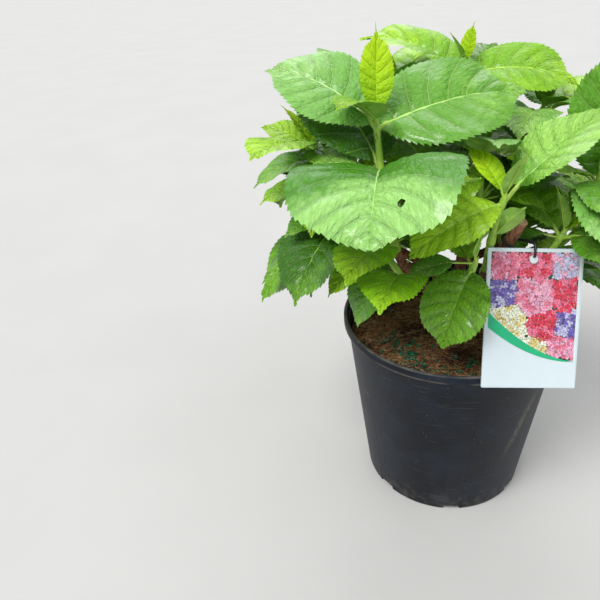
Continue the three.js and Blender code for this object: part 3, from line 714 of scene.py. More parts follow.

# The leaves that the eye picks out from the front, each set one by one
SET_LEAVES = {
    "front_left": (
        LeafRow(1, 1, 165, 40, 95, 45, 0.7, 25, 8, 10, 0, Age.PALE),
        LeafRow(1, 0, 27, 18, 113, 28, 0.8, -25, 8, 8, 0, Age.GREEN),
        LeafRow(0, 0, 100, 82, 56, 8, 0.52, -10, 16, 12, 0, Age.YOUNG),
        LeafRow(0, 1, -118, 50, 48, 70, 0.8, 0, 20, 6, 0, Age.FRESH),
        LeafRow(2, 1, -86, 22, 108, 64, 1.05, -6, 20, 18, 0.8, Age.BROAD, 0.5, ONE_HOLE),
    ),
    "front_right": (
        # The first two leaves' light, 1.7 and 1.1, lifts their colours as painted light: they sit in the
        # shade of other leaves
        LeafRow(1, 1, 215, -8, 76, 32, 0.7, 8, 24, 8, 0, Age.FRESH, 1.7),
        LeafRow(1, 0, 35, 35, 82, 6, 0.68, 0, 25, 20, 0, Age.GREEN, 1.1),
        LeafRow(0, 1, 140, 50, 45, 40, 0.62, 0, 16, 8, 0, Age.YOUNG),
        LeafRow(2, 1, -40, 55, 36, 10, 0.5, 50, 25, 8, 0, Age.FRESH),
    ),
    "top": (
        LeafRow(1, 0, 168, 32, 92, 38, 0.58, 10, 32, 8, 0, Age.FRESH, 0.5, TWO_HOLES),
        LeafRow(1, 1, 2, 12, 86, 44, 0.66, -30, 8, 8, 0, Age.FRESH),
        LeafRow(0, 0, 50, 78, 30, 8, 0.6, 0, 16, 8, 0, Age.YOUNG),
        LeafRow(0, 1, 200, 70, 28, 20, 0.55, 0, 16, 6, 0, Age.YOUNG),
    ),
    "left": (
        LeafRow(1, 1, 170, 35, 46, 40, 0.6, 20, 10, 8, 0, Age.FRESH),
        LeafRow(2, 1, -95, 0, 56, 60, 0.66, 0, 14, 8, 0, Age.FRESH),
        LeafRow(0, 0, 100, 84, 28, 8, 0.5, 0, 16, 6, 0, Age.YOUNG),
    ),
    "right_back": (
        LeafRow(0, 1, 80, 80, 32, 8, 0.55, 0, 16, 6, 0, Age.FRESH),
        LeafRow(1, 1, 205, 12, 44, 36, 0.8, 20, 8, 10, 0, Age.PALE),
    ),
    "right": (
        LeafRow(1, 0, 100, 80, 90, 8, 0.65, 0, 14, 12, 0, Age.GREEN),
        LeafRow(1, 1, -85, 8, 88, 60, 0.66, 0, 14, 12, 0, Age.PALE),
    ),
    "front_low": (
        LeafRow(1, 0, -104, -32, 62, 40, 0.86, 0, 14, 6, 0.3, Age.DEEP, 1.0),
        LeafRow(0, 0, 192, -5, 36, 30, 0.6, 20, 14, 19, 0, Age.GREEN),
    ),
}


@dataclass
class Limb:
    """A line of points with a radius at each."""

    points: Array
    radii: Array
    way: Array

    COUNT = 17

    @classmethod
    def bent(cls, a: Array, way: Array, b: Array, radii: tuple[float, float]) -> Limb:
        """A tapering limb that sets out along way.

        Args:
            a: where it starts.
            way: its first direction.
            b: where it ends.
            radii: its radius at each end.

        Returns:
            The limb.
        """
        c = a + way * (0.5 * np.linalg.norm(b - a))
        t = np.linspace(0, 1, cls.COUNT)[:, None]
        points = a * (1 - t) ** 2 + 2 * c * t * (1 - t) + b * t**2
        end = (b - c) / np.linalg.norm(b - c)
        return cls(points, radii[0] + (radii[1] - radii[0]) * t[:, 0], end)

    def at(self, place: float) -> Array:
        """The point at a place along the limb.

        Args:
            place: how far along it is, from 0 to 1.

        Returns:
            The point.
        """
        k = place * (len(self.points) - 1)
        i = min(int(k), len(self.points) - 2)
        return self.points[i] + (self.points[i + 1] - self.points[i]) * (k - i)

    def fine(self, count: int) -> tuple[Array, Array]:
        """The limb's points and radii at as many even steps."""
        radii = np.interp(np.linspace(0, 1, count), np.linspace(0, 1, len(self.radii)), self.radii)
        return resampled(self.points, count), radii


class Blade:
    """A leaf's shape: a midrib that sets out at rise and bends down by droop, and a blade
    round it."""

    LOBE = 0.05
    SWEEP = 0.22
    LIFT = 10
    GRID = np.linspace(-0.1, 1, 23)
    STATIONS = np.linspace(0, 1, 13)
    CLOUD_S = np.linspace(0.02, 1, 10)[:, None]
    CLOUD_V = np.linspace(-1, 1, 9)[None, :]
    STALK = np.linspace(0, 1, 5)[:, None]

    def __init__(self, shoot: str, node: Array, row: LeafRow) -> None:
        """Lays the midrib and takes samples of the blade.

        Args:
            shoot: the name of the shoot.
            node: the point of the shoot that carries the leaf.
            row: the leaf's sizes.
        """
        self.shoot, self.node, self.row = shoot, node, row
        self.base = node + heading(row.az, row.rise + self.LIFT) * row.petiole
        a = math.radians(row.az)
        rise = np.radians(row.rise - row.droop * np.sign(self.GRID) * np.abs(self.GRID) ** 1.15)
        self.along = np.stack([np.cos(rise) * math.cos(a), np.cos(rise) * math.sin(a), np.sin(rise)], 1)
        steps = 0.5 * (self.along[1:] + self.along[:-1]) * (self.GRID[1] - self.GRID[0]) * row.length
        line = np.concatenate([np.zeros((1, 3)), np.cumsum(steps, 0)])
        self.line = line - line[2] + self.base
        self.sideways = np.array([math.sin(a), -math.cos(a), 0.0])
        self.frames = np.stack(self.midrib(self.STATIONS), 1)
        self.cloud = self.surface(self.CLOUD_S, self.CLOUD_V).reshape(-1, 3)
        self.middle = self.cloud.mean(0)
        off = self.cloud - self.middle
        self.reach = float(np.sqrt(dot(off, off).max()))
        self.stalk = node + (self.base - node) * self.STALK
        self.samples = np.concatenate([self.cloud, self.stalk])
        fold, half = math.sin(math.radians(row.fold * 0.75)), 0.5 * row.wide * row.length
        self.shape = np.array([row.length, half, row.blunt, fold, self.reach])

    @classmethod
    def half_width(cls, x: Array, blunt: Array | float) -> Array:
        """Half the blade's width over its half breadth.

        Args:
            x: places along the midrib, from 0 to 1.
            blunt: how blunt the leaf's tip is.

        Returns:
            The widths.
        """
        u = np.clip((x + cls.LOBE) / (1 + cls.LOBE), 0, 1)
        body = np.maximum(np.sin(math.pi * u**0.84), 0) ** (0.80 - 0.28 * blunt)
        tip = np.clip((u - 0.76) / 0.24, 0, 1)
        return body * (1 - (0.38 - 0.3 * blunt) * tip * tip * (3 - 2 * tip))

    @classmethod
    def margin_at(cls, s: Array) -> Array:
        """Where the rows that leave the midrib at s meet the margin."""
        return s + cls.SWEEP * np.sin(math.pi * s) - cls.LOBE * (1 - s) ** 4

    def midrib(self, x: Array) -> tuple[Array, ...]:
        """The midrib's points and its direction, side and upper face there.

        Args:
            x: places along the midrib.

        Returns:
            Four arrays of vectors.
        """
        k = np.clip((x - self.GRID[0]) / (self.GRID[1] - self.GRID[0]), 0, len(self.GRID) - 1)
        i = np.minimum(k.astype(int), len(self.GRID) - 2)
        part = (k - i)[..., None]
        p = self.line[i] + (self.line[i + 1] - self.line[i]) * part
        t = unit(self.along[i] + (self.along[i + 1] - self.along[i]) * part)
        up = cross(self.sideways, t)
        c, s = math.cos(math.radians(self.row.roll)), math.sin(math.radians(self.row.roll))
        return p, t, self.sideways * c + up * s, up * c - self.sideways * s

    def surface(self, s: Array, v: Array, up: Array | float = 0) -> Array:
        """Points of the blade.

        Args:
            s: where their rows leave the midrib.
            v: how far across the blade they are, from -1 to 1.
            up: how far they rise off the blade.

        Returns:
            The points.
        """
        s, v = np.broadcast_arrays(s, v)
        x = self.margin_at(s)
        y = np.abs(v) * 0.5 * self.row.wide * self.row.length * self.half_width(x, self.row.blunt)
        p, _, b, n = self.midrib(s + (x - s) * np.abs(v) ** 1.4)
        tilt = math.radians(self.row.fold) * (1 - 0.5 * np.abs(v))
        sign = np.sign(v)
        sideways = b * (sign * y * np.cos(tilt) - sign * up * np.sin(tilt))[..., None]
        return p + sideways + n * (y * np.sin(tilt) + up * np.cos(tilt))[..., None]


class Crowd:
    """The blades that stand already, as arrays that a new one is tested against. The first CLOUD
    samples of a blade lie on it, and the first FOOT, at its base, don't count within a shoot."""

    ROOM = 400
    CLOUD = Blade.CLOUD_S.size * Blade.CLOUD_V.size
    FOOT = 3 * Blade.CLOUD_V.size
    AWAY = 20

    def __init__(self, own_clear: float, other_clear: float) -> None:
        """Makes room for the arrays.

        Args:
            own_clear: the clear space between leaves of one shoot.
            other_clear: the clear space between leaves of two shoots.
        """
        self.own_clear, self.other_clear = own_clear, other_clear
        self.blades: list[Blade] = []
        self.frames = np.zeros((self.ROOM, Blade.STATIONS.size, 4, 3))
        self.samples = np.zeros((self.ROOM, self.CLOUD + Blade.STALK.size, 3))
        self.middles = np.zeros((self.ROOM, 3))
        self.shapes = np.zeros((self.ROOM, 5))

    def add(self, blade: Blade) -> None:
        """Takes in a blade.

        Args:
            blade: the blade.
        """
        i = len(self.blades)
        self.blades.append(blade)
        self.frames[i], self.samples[i] = blade.frames, blade.samples
        self.middles[i], self.shapes[i] = blade.middle, blade.shape

    @staticmethod
    def crossed(frames: Array, shapes: Array, points: Array, clear: Array, used: Array) -> Array:
        """Whether points come too near to a blade or lie on both sides of it.

        Args:
            frames: the midrib frames of each blade.
            shapes: each blade's sizes.
            points: the points tested against each blade.
            clear: the clear space that each blade keeps.
            used: which points count.

        Returns:
            One answer for each blade.
        """
        middle = frames[:, :, 0]
        k = (dot(middle, middle)[:, None] - 2 * points @ middle.transpose(0, 2, 1)).argmin(-1)
        near = frames[np.arange(len(frames))[:, None], k]
        d = points - near[:, :, 0]
        length, half, blunt, fold = (shapes[:, i, None] for i in range(4))
        x = Blade.STATIONS[k] + dot(d, near[:, :, 1]) / length
        y = np.abs(dot(d, near[:, :, 2]))
        half = half * Blade.half_width(np.clip(x, 0.02, 0.98), blunt)
        clear = clear[:, None]
        inside = used & (x > -clear / length) & (x < 1 + clear / length) & (y < half + clear)
        height = dot(d, near[:, :, 3]) - np.minimum(y, half) * fold
        low = np.where(inside, height, np.inf).min(1)
        high = np.where(inside, height, -np.inf).max(1)
        close = (inside & (np.abs(height) < clear)).any(1)
        return close | ((low < 0) & (high > 0))

    def blocks(self, blade: Blade) -> bool:
        """Whether a new blade comes too near to one that stands.

        Args:
            blade: the new blade.

        Returns:
            True if it does.
        """
        n = len(self.blades)
        away = np.sqrt(((self.middles[:n] - blade.middle) ** 2).sum(1))
        near = np.nonzero(away <= blade.reach + self.shapes[:n, 4] + self.AWAY)[0]
        if not len(near):
            return False
        own = np.array([self.blades[i].shoot == blade.shoot for i in near])
        clear = np.where(own, self.own_clear, self.other_clear)
        used = np.ones((len(near), len(blade.samples)), bool)
        used[own, : self.FOOT] = False
        used[own, self.CLOUD :] = False
        theirs = self.samples[near]
        mine = np.broadcast_to(blade.samples, theirs.shape)
        frames = np.broadcast_to(blade.frames, (len(near), *blade.frames.shape))
        shapes = np.broadcast_to(blade.shape, (len(near), blade.shape.size))
        if self.crossed(frames, shapes, theirs, clear, used).any():
            return True
        return bool(self.crossed(self.frames[near], self.shapes[near], mine, clear, used).any())


@dataclass
class Stick:
    """Points of a limb that leaves keep clear of."""

    name: str
    points: Array
    radius: float


@dataclass(frozen=True)
class TagPlace:
    """Where the card hangs: its middle, its size, and how it turns, leans and tips."""

    middle: tuple[float, float, float] = (61.1, -66.9, 221.6)
    width: float = 75
    height: float = 110
    thick: float = 0.8
    turn: float = 18
    lean: float = 24.4
    tip: float = -6
    hole_u: float = -2
    hole_down: float = 8.5
    hole_radius: float = 3.2
    clear: float = 3.5
    open_rim: float = 9

    def axes(self) -> tuple[Array, Array, Array]:
        """The card's directions.

        Returns:
            Across, up, and out of its picture side.
        """
        across, out = heading(self.turn, 0), heading(self.turn - 90, 0)
        lean, tip = math.radians(self.lean), math.radians(self.tip)
        up = np.array([0, 0, math.cos(lean)]) - out * math.sin(lean)
        x = across * math.cos(tip) + up * math.sin(tip)
        z = up * math.cos(tip) - across * math.sin(tip)
        return x, z, np.cross(x, z)

    def over(self, points: Array, room: float) -> tuple[Array, Array]:
        """Finds the points that lie in front of the card or behind it.

        Args:
            points: the points.
            room: how far past its edges they may lie.

        Returns:
            Whether each does, and how far out of the picture side it is.
        """
        x, z, n = self.axes()
        d = points - np.array(self.middle)
        return (np.abs(d @ x) < self.width / 2 + room) & (np.abs(d @ z) < self.height / 2 + room), d @ n

    def hidden_by(self, points: Array) -> bool:
        """Whether any of the points stands in front of the card's picture."""
        over, out = self.over(points, self.open_rim)
        return bool((over & (out > -self.clear)).any())

    def near(self, points: Array) -> bool:
        """Whether any of the points comes within a few millimetres of the card."""
        over, out = self.over(points, self.clear)
        return bool((over & (np.abs(out) < self.clear)).any())


class Shrub:
    """The whole shrub: stems, boughs, shoots, leaves and side twigs."""

    CROWN_TOP = 184
    START_REACH = 6
    STEM_RISE = 62
    STEM_TAPER = 0.82
    BOUGH_RADII = (4.2, 3.6)
    SHOOT_RADII = (3.5, 2.3)
    TWIG_RADII = (1.6, 1.3)
    NODE_STEP = 34
    TIP_STEP = 5
    GROW = (0.42, 0.85, 1.05, 1.15, 1.0)
    RISE = (72, 34, 16, 2, -10)
    DROOP = (14, 42, 50, 54, 50)
    REACH = 178
    LOWEST = 170
    HIGHEST = 430
    RIM_RADIUS = 108
    RIM_Z = 188
    OTHER_CLEAR = 4
    OWN_CLEAR = 2.5
    SWING = 12
    PAIR_SCALES = (1, 0.85, 0.7, 0.55)
    TIP_SCALES = (1, 0.7)
    TWIG_CHANCE = 0.7
    TWIG_SCALES = (1, 0.75)
    TWIG_RISES = (52, 30)
    TWIG_TURNS = (0, 25, -25, 50, -50, 75, -75)
    TWIG_CLEAR = 3.0
    LIMB_CLEAR = 2.5
    LIMB_NEAR = 12
    INNER_CLEAR = (1.6, 2.8)
    INNER_SEED = 700
    INNER_SCALES = (1.5, 1.2, 0.95, 0.7)
    INNER_SWINGS = ((0, 0), (22, 0), (-22, 0), (0, 18), (0, -18))
    INNER_SIDE = 4
    FIRST_INNER = {"front_left": 4, "front_right": 4, "front_low": 4, "top": 3}

    def __init__(self) -> None:
        """Grows the shrub."""
        self.tag = TagPlace()
        self.crowd = Crowd(self.OWN_CLEAR, self.OTHER_CLEAR)
        self.twigs: list[tuple[str, Array, Array]] = []
        self.stems = {name: self.stem(row) for name, row in STEMS.items()}
        self.boughs: dict[str, Limb] = {}
        self.shoots: dict[str, Limb] = {}
        for row in SHOOTS:
            foot = self.stems[row.on].at(row.place)
            end = polar(*row.start)
            way = (end - foot) / np.linalg.norm(end - foot) * np.array([1.15, 1.15, 0.7])
            bough = Limb.bent(foot, way / np.linalg.norm(way), end, self.BOUGH_RADII)
            self.boughs[row.name] = bough
            self.shoots[row.name] = Limb.bent(end, bough.way, polar(*row.tip), self.SHOOT_RADII)
        self.sticks = [Stick("", one.points, one.radii[0]) for one in self.stems.values()]
        for limbs in (self.boughs, self.shoots):
            self.sticks += [Stick(name, one.points, one.radii[0]) for name, one in limbs.items()]
        self.grow()
        self.fill()

    @property
    def leaves(self) -> list[Blade]:
        """All the leaves."""
        return self.crowd.blades

    def stem(self, row: StemRow) -> Limb:
        """A woody stem, from inside the root crown to its end."""
        start = polar(row.az, self.START_REACH, self.CROWN_TOP - 8)
        radii = (row.radius, row.radius * self.STEM_TAPER)
        return Limb.bent(start, heading(row.az, self.STEM_RISE), polar(row.az, row.reach, row.z), radii)

    def grow(self) -> None:
        """Sets the listed leaves, then the rest from each tip down."""
        rows = {row.name: row for row in SHOOTS}
        self.placed = set()
        for name, leaves in SET_LEAVES.items():
            for row in leaves:
                self.placed.add((name, row.level, row.side))
                self.crowd.add(Blade(name, self.node(name, row.level, rows[name].pairs), row))
        for level in range(len(self.GROW)):
            for row in sorted(SHOOTS, key=lambda one: -one.tip[2]):
                if level < row.pairs:
                    self.pair(row, level)

    def fill(self) -> None:
        """Grows smaller inner leaves between the pairs, where the crown has room left."""
        self.crowd.own_clear, self.crowd.other_clear = self.INNER_CLEAR
        for number, row in enumerate(SHOOTS):
            dice = Dice(self.INNER_SEED + number)
            for level in range(self.FIRST_INNER.get(row.name, 1), row.pairs):
                node = self.node(row.name, level, row.pairs)
                for corner in range(4):
                    self.inner_leaf(row, level, corner, node, dice)

    def inner_leaf(self, row: ShootRow, level: int, corner: int, node: Array, dice: Dice) -> None:
        """Grows one inner leaf on a long stalk, where it has room.

        Args:
            row: the shoot.
            level: the level, counted down from its tip.
            corner: which of the four gaps between the pairs it grows in.
            node: the point that carries it.
            dice: the shoot's numbers.
        """
        az = row.turn + 90 * level + 45 + 90 * corner + dice.span(-15, 15)
        length, wide = dice.span(38, 56), dice.span(0.62, 0.74)
        rise, droop, petiole = dice.span(-8, 34), dice.span(25, 52), dice.span(10, 24)

        for scale, (swing, lift) in product(self.INNER_SCALES, self.INNER_SWINGS):
            side = self.INNER_SIDE + corner
            leaf = LeafRow(level, side, az + swing, rise + lift, length * scale, droop, wide)
            blade = Blade(row.name, node, replace(leaf, fold=14, petiole=petiole))
            if self.free(blade) and not self.tag.hidden_by(blade.cloud):
                self.crowd.add(blade)
                return

    def node(self, name: str, level: int, pairs: int) -> Array:
        """The point of a shoot that carries a level's leaves.

        Args:
            name: the shoot.
            level: the level, counted down from its tip.
            pairs: how many pairs of leaves it has.

        Returns:
            The point.
        """
        points = self.shoots[name].points
        steps = np.linalg.norm(np.diff(points, axis=0), axis=1)
        step = min(self.NODE_STEP, (steps.sum() - 8) / max(pairs - 2, 1))
        left = self.TIP_STEP + (level - 1) * step if level else 0.0
        for i in range(len(points) - 1, 0, -1):
            if left <= steps[i - 1]:
                return points[i] + (points[i - 1] - points[i]) * (left / steps[i - 1])
            left -= steps[i - 1]
        return points[0].copy()

    def swings(self) -> Iterator[tuple[float, float]]:
        """The turns and rises that a leaf tries until it finds room."""
        yield 0, 0
        ways = ((1, 0), (-1, 0), (0, 1), (0, -1), (1, -1), (-1, -1), (1, 1), (-1, 1))
        for k in range(1, 5):
            for turn, rise in ways:
                yield turn * k * self.SWING, rise * k * self.SWING * 0.7

    def pair(self, row: ShootRow, level: int) -> None:
        """Grows the two leaves of a node, each where it has room.

        Args:
            row: the shoot.
            level: the level, counted down from its tip.
        """
        seed = 1 + SHOOTS.index(row)
        dice = Dice(seed * 31 + level * 7 + 5)
        node = self.node(row.name, level, row.pairs)
        for side in (0, 1):
            az = row.turn + 90 * (level - 1) + 180 * side + dice.span(-10, 10)
            length = row.leaf * self.GROW[level] * dice.span(0.92, 1.08)
            wide = dice.span(0.66, 0.8) if level else 0.5
            rise, droop, half_roll = (dice.span(-8, 8) for _ in range(3))
            if (row.name, level, side) in self.placed:
                continue
            petiole = max(6, length * 0.16)

            tries = product(self.PAIR_SCALES if level else self.TIP_SCALES, self.swings())
            for scale, (swing, lift) in tries:
                tilt, sag = self.RISE[level] + lift + rise, self.DROOP[level] + droop
                leaf = LeafRow(level, side, az + swing, tilt, length * scale, sag, wide, 2 * half_roll)
                blade = Blade(row.name, node, replace(leaf, petiole=petiole))
                if self.free(blade):
                    self.crowd.add(blade)
                    if level >= 2:
                        self.twig(row.name, level, side, blade.row.az, node, seed)
                    break

    def twig(self, name: str, level: int, side: int, az: float, node: Array, seed: int) -> None:
        """Grows a short side twig with two young leaves, in the axil of a leaf.

        Args:
            name: the shoot.
            level: the leaf's level.
            side: the leaf's side.
            az: the leaf's heading.
            node: the point that carries the leaf.
            seed: the shoot's seed.
        """
        dice = Dice(seed * 17 + level * 5 + side + 3)
        if dice.roll() > self.TWIG_CHANCE:
            return
        length, size = dice.span(18, 30), dice.span(30, 46)
        for scale, rise, turn in product(self.TWIG_SCALES, self.TWIG_RISES, self.TWIG_TURNS):
            tip = node + heading(az + turn, rise) * (length * scale)

            def young(swing: float, lift: float, part: float) -> Blade:
                """One of the twig's two leaves."""
                leaf = LeafRow(level, side + 2, az + turn + swing, rise + lift, part * scale * size)
                return Blade(name, tip, replace(leaf, droop=18, wide=0.55, fold=16, petiole=5))

            pair = [young(80, 10, 1), young(-100, 14, 0.85)]
            points = node + (tip - node) * np.linspace(0.35, 1, 5)[:, None]
            if not all(self.free(blade) for blade in pair) or self.struck(points, name, level, side):
                continue
            for blade in pair:
                self.crowd.add(blade)
            self.twigs.append((name, node, tip))
            self.sticks.append(Stick("", points, self.TWIG_RADII[0]))
            return

    def struck(self, points: Array, name: str, level: int, side: int) -> bool:
        """Whether a twig meets a leaf other than the one in whose axil it grows.

        Args:
            points: the twig's points.
            name: the shoot.
            level: the leaf's level.
            side: the leaf's side.

        Returns:
            True if it does.
        """
        n = len(self.leaves)
        mine = np.array([(b.shoot, b.row.level, b.row.side) == (name, level, side) for b in self.leaves])
        tested = np.broadcast_to(points, (n, *points.shape))
        used = np.broadcast_to(~mine[:, None], (n, len(points)))
        clear = np.full(n, self.TWIG_CLEAR)
        return bool(Crowd.crossed(self.crowd.frames[:n], self.crowd.shapes[:n], tested, clear, used).any())

    def free(self, blade: Blade) -> bool:
        """Whether a leaf stays in the crown's space, off the rim, the limbs and other leaves.

        Args:
            blade: the leaf.

        Returns:
            True if it does.
        """
        reach = np.hypot(blade.cloud[:, 0], blade.cloud[:, 1])
        z = blade.cloud[:, 2]
        if reach.max() > self.REACH or z.min() < self.LOWEST or z.max() > self.HIGHEST:
            return False
        if ((reach < self.RIM_RADIUS) & (z < self.RIM_Z)).any():
            return False
        if self.tag.near(blade.cloud) or self.tag.near(blade.stalk) or self.crowd.blocks(blade):
            return False
        return not any(self.meets(blade, stick) for stick in self.sticks)

    @classmethod
    def meets(cls, blade: Blade, stick: Stick) -> bool:
        """Whether a leaf meets a limb.

        Args:
            blade: the leaf.
            stick: the limb.

        Returns:
            True if it does.
        """
        off = stick.points - blade.middle
        near = dot(off, off) < (blade.reach + cls.LIMB_NEAR) ** 2
        if not near.any():
            return False
        if stick.name == blade.shoot:
            off = stick.points - blade.node
            near &= dot(off, off) > cls.LIMB_NEAR**2
            if not near.any():
                return False
        points = stick.points[near][None]
        clear, used = np.array([stick.radius + cls.LIMB_CLEAR]), np.ones(points.shape[:2], bool)
        return bool(Crowd.crossed(blade.frames[None], blade.shape[None], points, clear, used)[0])


# Meshes


def bare_scene() -> None:
    """Leaves nothing selected and no object active."""
    bpy.ops.object.select_all(action="DESELECT")
    bpy.context.view_layer.objects.active = None


def take(piece: Piece) -> None:
    """Selects one piece alone and makes it active."""
    bare_scene()
    piece.select_set(True)
    bpy.context.view_layer.objects.active = piece


def carve(piece: Piece, cutter: Piece, name: str) -> None:
    """Cuts a shape out of a piece and drops the shape.

    Args:
        piece: the piece.
        cutter: the shape.
        name: what the cut is called.
    """
    cut = piece.modifiers.new(name, "BOOLEAN")
    cut.object = cutter
    cut.solver = "EXACT"
    take(piece)
    bpy.ops.object.modifier_apply(modifier=cut.name)
    bpy.data.objects.remove(cutter)


@dataclass
class Pile:
    """Points and faces of many shapes, gathered for one mesh."""

    points: list[Array] = field(default_factory=list)
    faces: list[Array] = field(default_factory=list)
    finishes: list[Array] = field(default_factory=list)
    spots: list[Array] = field(default_factory=list)
    tints: list[Array] = field(default_factory=list)
    count: int = 0

    def add(
        self,
        points: Array,
        faces: Sequence[Array],
        finish: int | Sequence[int] = 0,
        spots: Array | None = None,
        tint: float = 0.5,
    ) -> None:
        """Adds a shape.

        Args:
            points: its points, in millimetres.
            faces: arrays of faces of 3 or 4 corners each.
            finish: the number of its finish, or one for each array of faces.
            spots: the place of each point on its surface, for patterns.
            tint: how light its colour is, mostly from 0 to 1.
        """
        points = points.reshape(-1, 3)
        self.tints.append(np.full(len(points), tint))
        for i, part in enumerate(faces):
            self.faces.append(part.astype(np.int64) + self.count)
            self.finishes.append(np.full(len(part), finish if isinstance(finish, int) else finish[i]))
        self.points.append(points)
        self.spots.append(np.zeros((len(points), 2)) if spots is None else spots.reshape(-1, 2))
        self.count += len(points)

    def make(
        self, name: str, finishes: Sequence[Material], patterned: bool = False, angle: float = 180
    ) -> Piece:
        """Makes the object.

        Args:
            name: the object's name.
            finishes: the materials that the shapes' finishes number.
            patterned: whether it keeps the places on its surface as a UV map.
            angle: edges sharper than this many degrees stay sharp.

        Returns:
            The object.
        """
        points = np.concatenate(self.points) * MM
        corners = np.concatenate([part.ravel() for part in self.faces])
        totals = np.concatenate([np.full(len(part), part.shape[1]) for part in self.faces])
        numbers = np.concatenate(self.finishes)
        used = np.unique(numbers)
        mesh = bpy.data.meshes.new(name)
        mesh.vertices.add(len(points))
        mesh.vertices.foreach_set("co", points.astype(np.float32).ravel())
        mesh.loops.add(len(corners))
        mesh.loops.foreach_set("vertex_index", corners.astype(np.int32))
        mesh.polygons.add(len(totals))
        mesh.polygons.foreach_set("loop_start", (np.cumsum(totals) - totals).astype(np.int32))
        mesh.polygons.foreach_set("material_index", np.searchsorted(used, numbers).astype(np.int32))
        for number in used:
            mesh.materials.append(finishes[number])
        if patterned:
            layer = mesh.uv_layers.new(name="surface")
            layer.data.foreach_set("uv", np.concatenate(self.spots)[corners].astype(np.float32).ravel())
            shades = mesh.attributes.new("tint", "FLOAT", "POINT")
            shades.data.foreach_set("value", np.concatenate(self.tints).astype(np.float32))
        mesh.update(calc_edges=True)
        mesh.validate()
        made = bpy.data.objects.new(name, mesh)
        bpy.context.scene.collection.objects.link(made)
        smooth(made, angle)
        return made


def smooth(piece: Piece, angle: float) -> None:
    """Shades a piece smooth but for its sharp edges.

    Args:
        piece: the piece.
        angle: edges sharper than this many degrees stay sharp.
    """
    take(piece)
    if angle >= 180:
        bpy.ops.object.shade_smooth()
    else:
        bpy.ops.object.shade_smooth_by_angle(angle=math.radians(angle))
    bare_scene()


def stand(piece: Piece, slot: str, *nodes: str) -> Piece:
    """Puts a finished piece in the place of its nodes.

    Args:
        piece: the piece.
        slot: not used.
        nodes: the nodes it stands for.

    Returns:
        The piece.
    """
    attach(piece, "root")
    if nodes:
        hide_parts(*nodes)
    log.info("%s: %d faces", piece.name, len(piece.data.polygons))
    return piece


def walked(points: Array) -> Array:
    """How far along a line each of its points is."""
    return np.concatenate([[0], np.cumsum(np.linalg.norm(np.diff(points, axis=0), axis=1))])


def ring_wall(rings: int, sides: int, closed: bool = False) -> Array:
    """The faces between rings of points that follow one another.

    Args:
        rings: how many rings there are.
        sides: how many points a ring has.
        closed: whether the last ring is joined to the first.

    Returns:
        The faces.
    """
    i, k = np.meshgrid(np.arange(rings if closed else rings - 1), np.arange(sides), indexing="ij")
    here, onward, beside = i * sides, (i + 1) % rings * sides, (k + 1) % sides
    return np.stack([here + k, here + beside, onward + beside, onward + k], -1).reshape(-1, 4)


def tubes(lines: Array, radii: Array, sides: int, closed: bool = False) -> tuple[Array, list[Array]]:
    """Round tubes along lines of points, with flat ends.

    Args:
        lines: the points of each line.
        radii: the radius at each point, or one for each side there.
        sides: how many sides a tube has.
        closed: whether each line is a ring.

    Returns:
        All points, and arrays of faces.
    """
    count, rings = lines.shape[:2]
    if closed:
        ahead, behind = np.roll(lines, -1, 1), np.roll(lines, 1, 1)
    else:
        ahead = np.concatenate([lines[:, 1:], 2 * lines[:, -1:] - lines[:, -2:-1]], 1)
        behind = np.concatenate([2 * lines[:, :1] - lines[:, 1:2], lines[:, :-1]], 1)
    along = unit(ahead - behind)
    first = np.where(np.abs(along[:, :1, 2:]) < 0.8, [[[0.0, 0.0, 1.0]]], [[[1.0, 0.0, 0.0]]])[:, 0]
    side = np.zeros_like(lines)
    for i in range(rings):
        t = along[:, i]
        first = unit(first - t * dot(first, t)[:, None])
        side[:, i] = first
    other = cross(along, side)
    turn = 2 * math.pi * np.arange(sides) / sides
    radii = radii if radii.ndim == 3 else radii[:, :, None]
    spokes = side[:, :, None] * np.cos(turn)[:, None] + other[:, :, None] * np.sin(turn)[:, None]
    points = lines[:, :, None] + spokes * np.broadcast_to(radii, (count, rings, sides))[..., None]
    starts = np.arange(count)[:, None, None] * rings * sides
    faces = [(ring_wall(rings, sides, closed)[None] + starts).reshape(-1, 4)]
    if not closed:
        fan = np.stack([np.zeros(sides - 2, int), np.arange(2, sides), np.arange(1, sides - 1)], -1)
        top = fan[:, ::-1] + (rings - 1) * sides
        faces += [(fan[None] + starts).reshape(-1, 3), (top[None] + starts).reshape(-1, 3)]
    return points.reshape(-1, 3), faces


def resampled(points: Array, count: int) -> Array:
    """A line's points, spaced evenly.

    Args:
        points: the line.
        count: how many points the result has.

    Returns:
        The points.
    """
    far = walked(points)
    at = np.linspace(0, far[-1], count)
    return np.stack([np.interp(at, far, points[:, i]) for i in range(3)], 1)


# Leaves and shoots


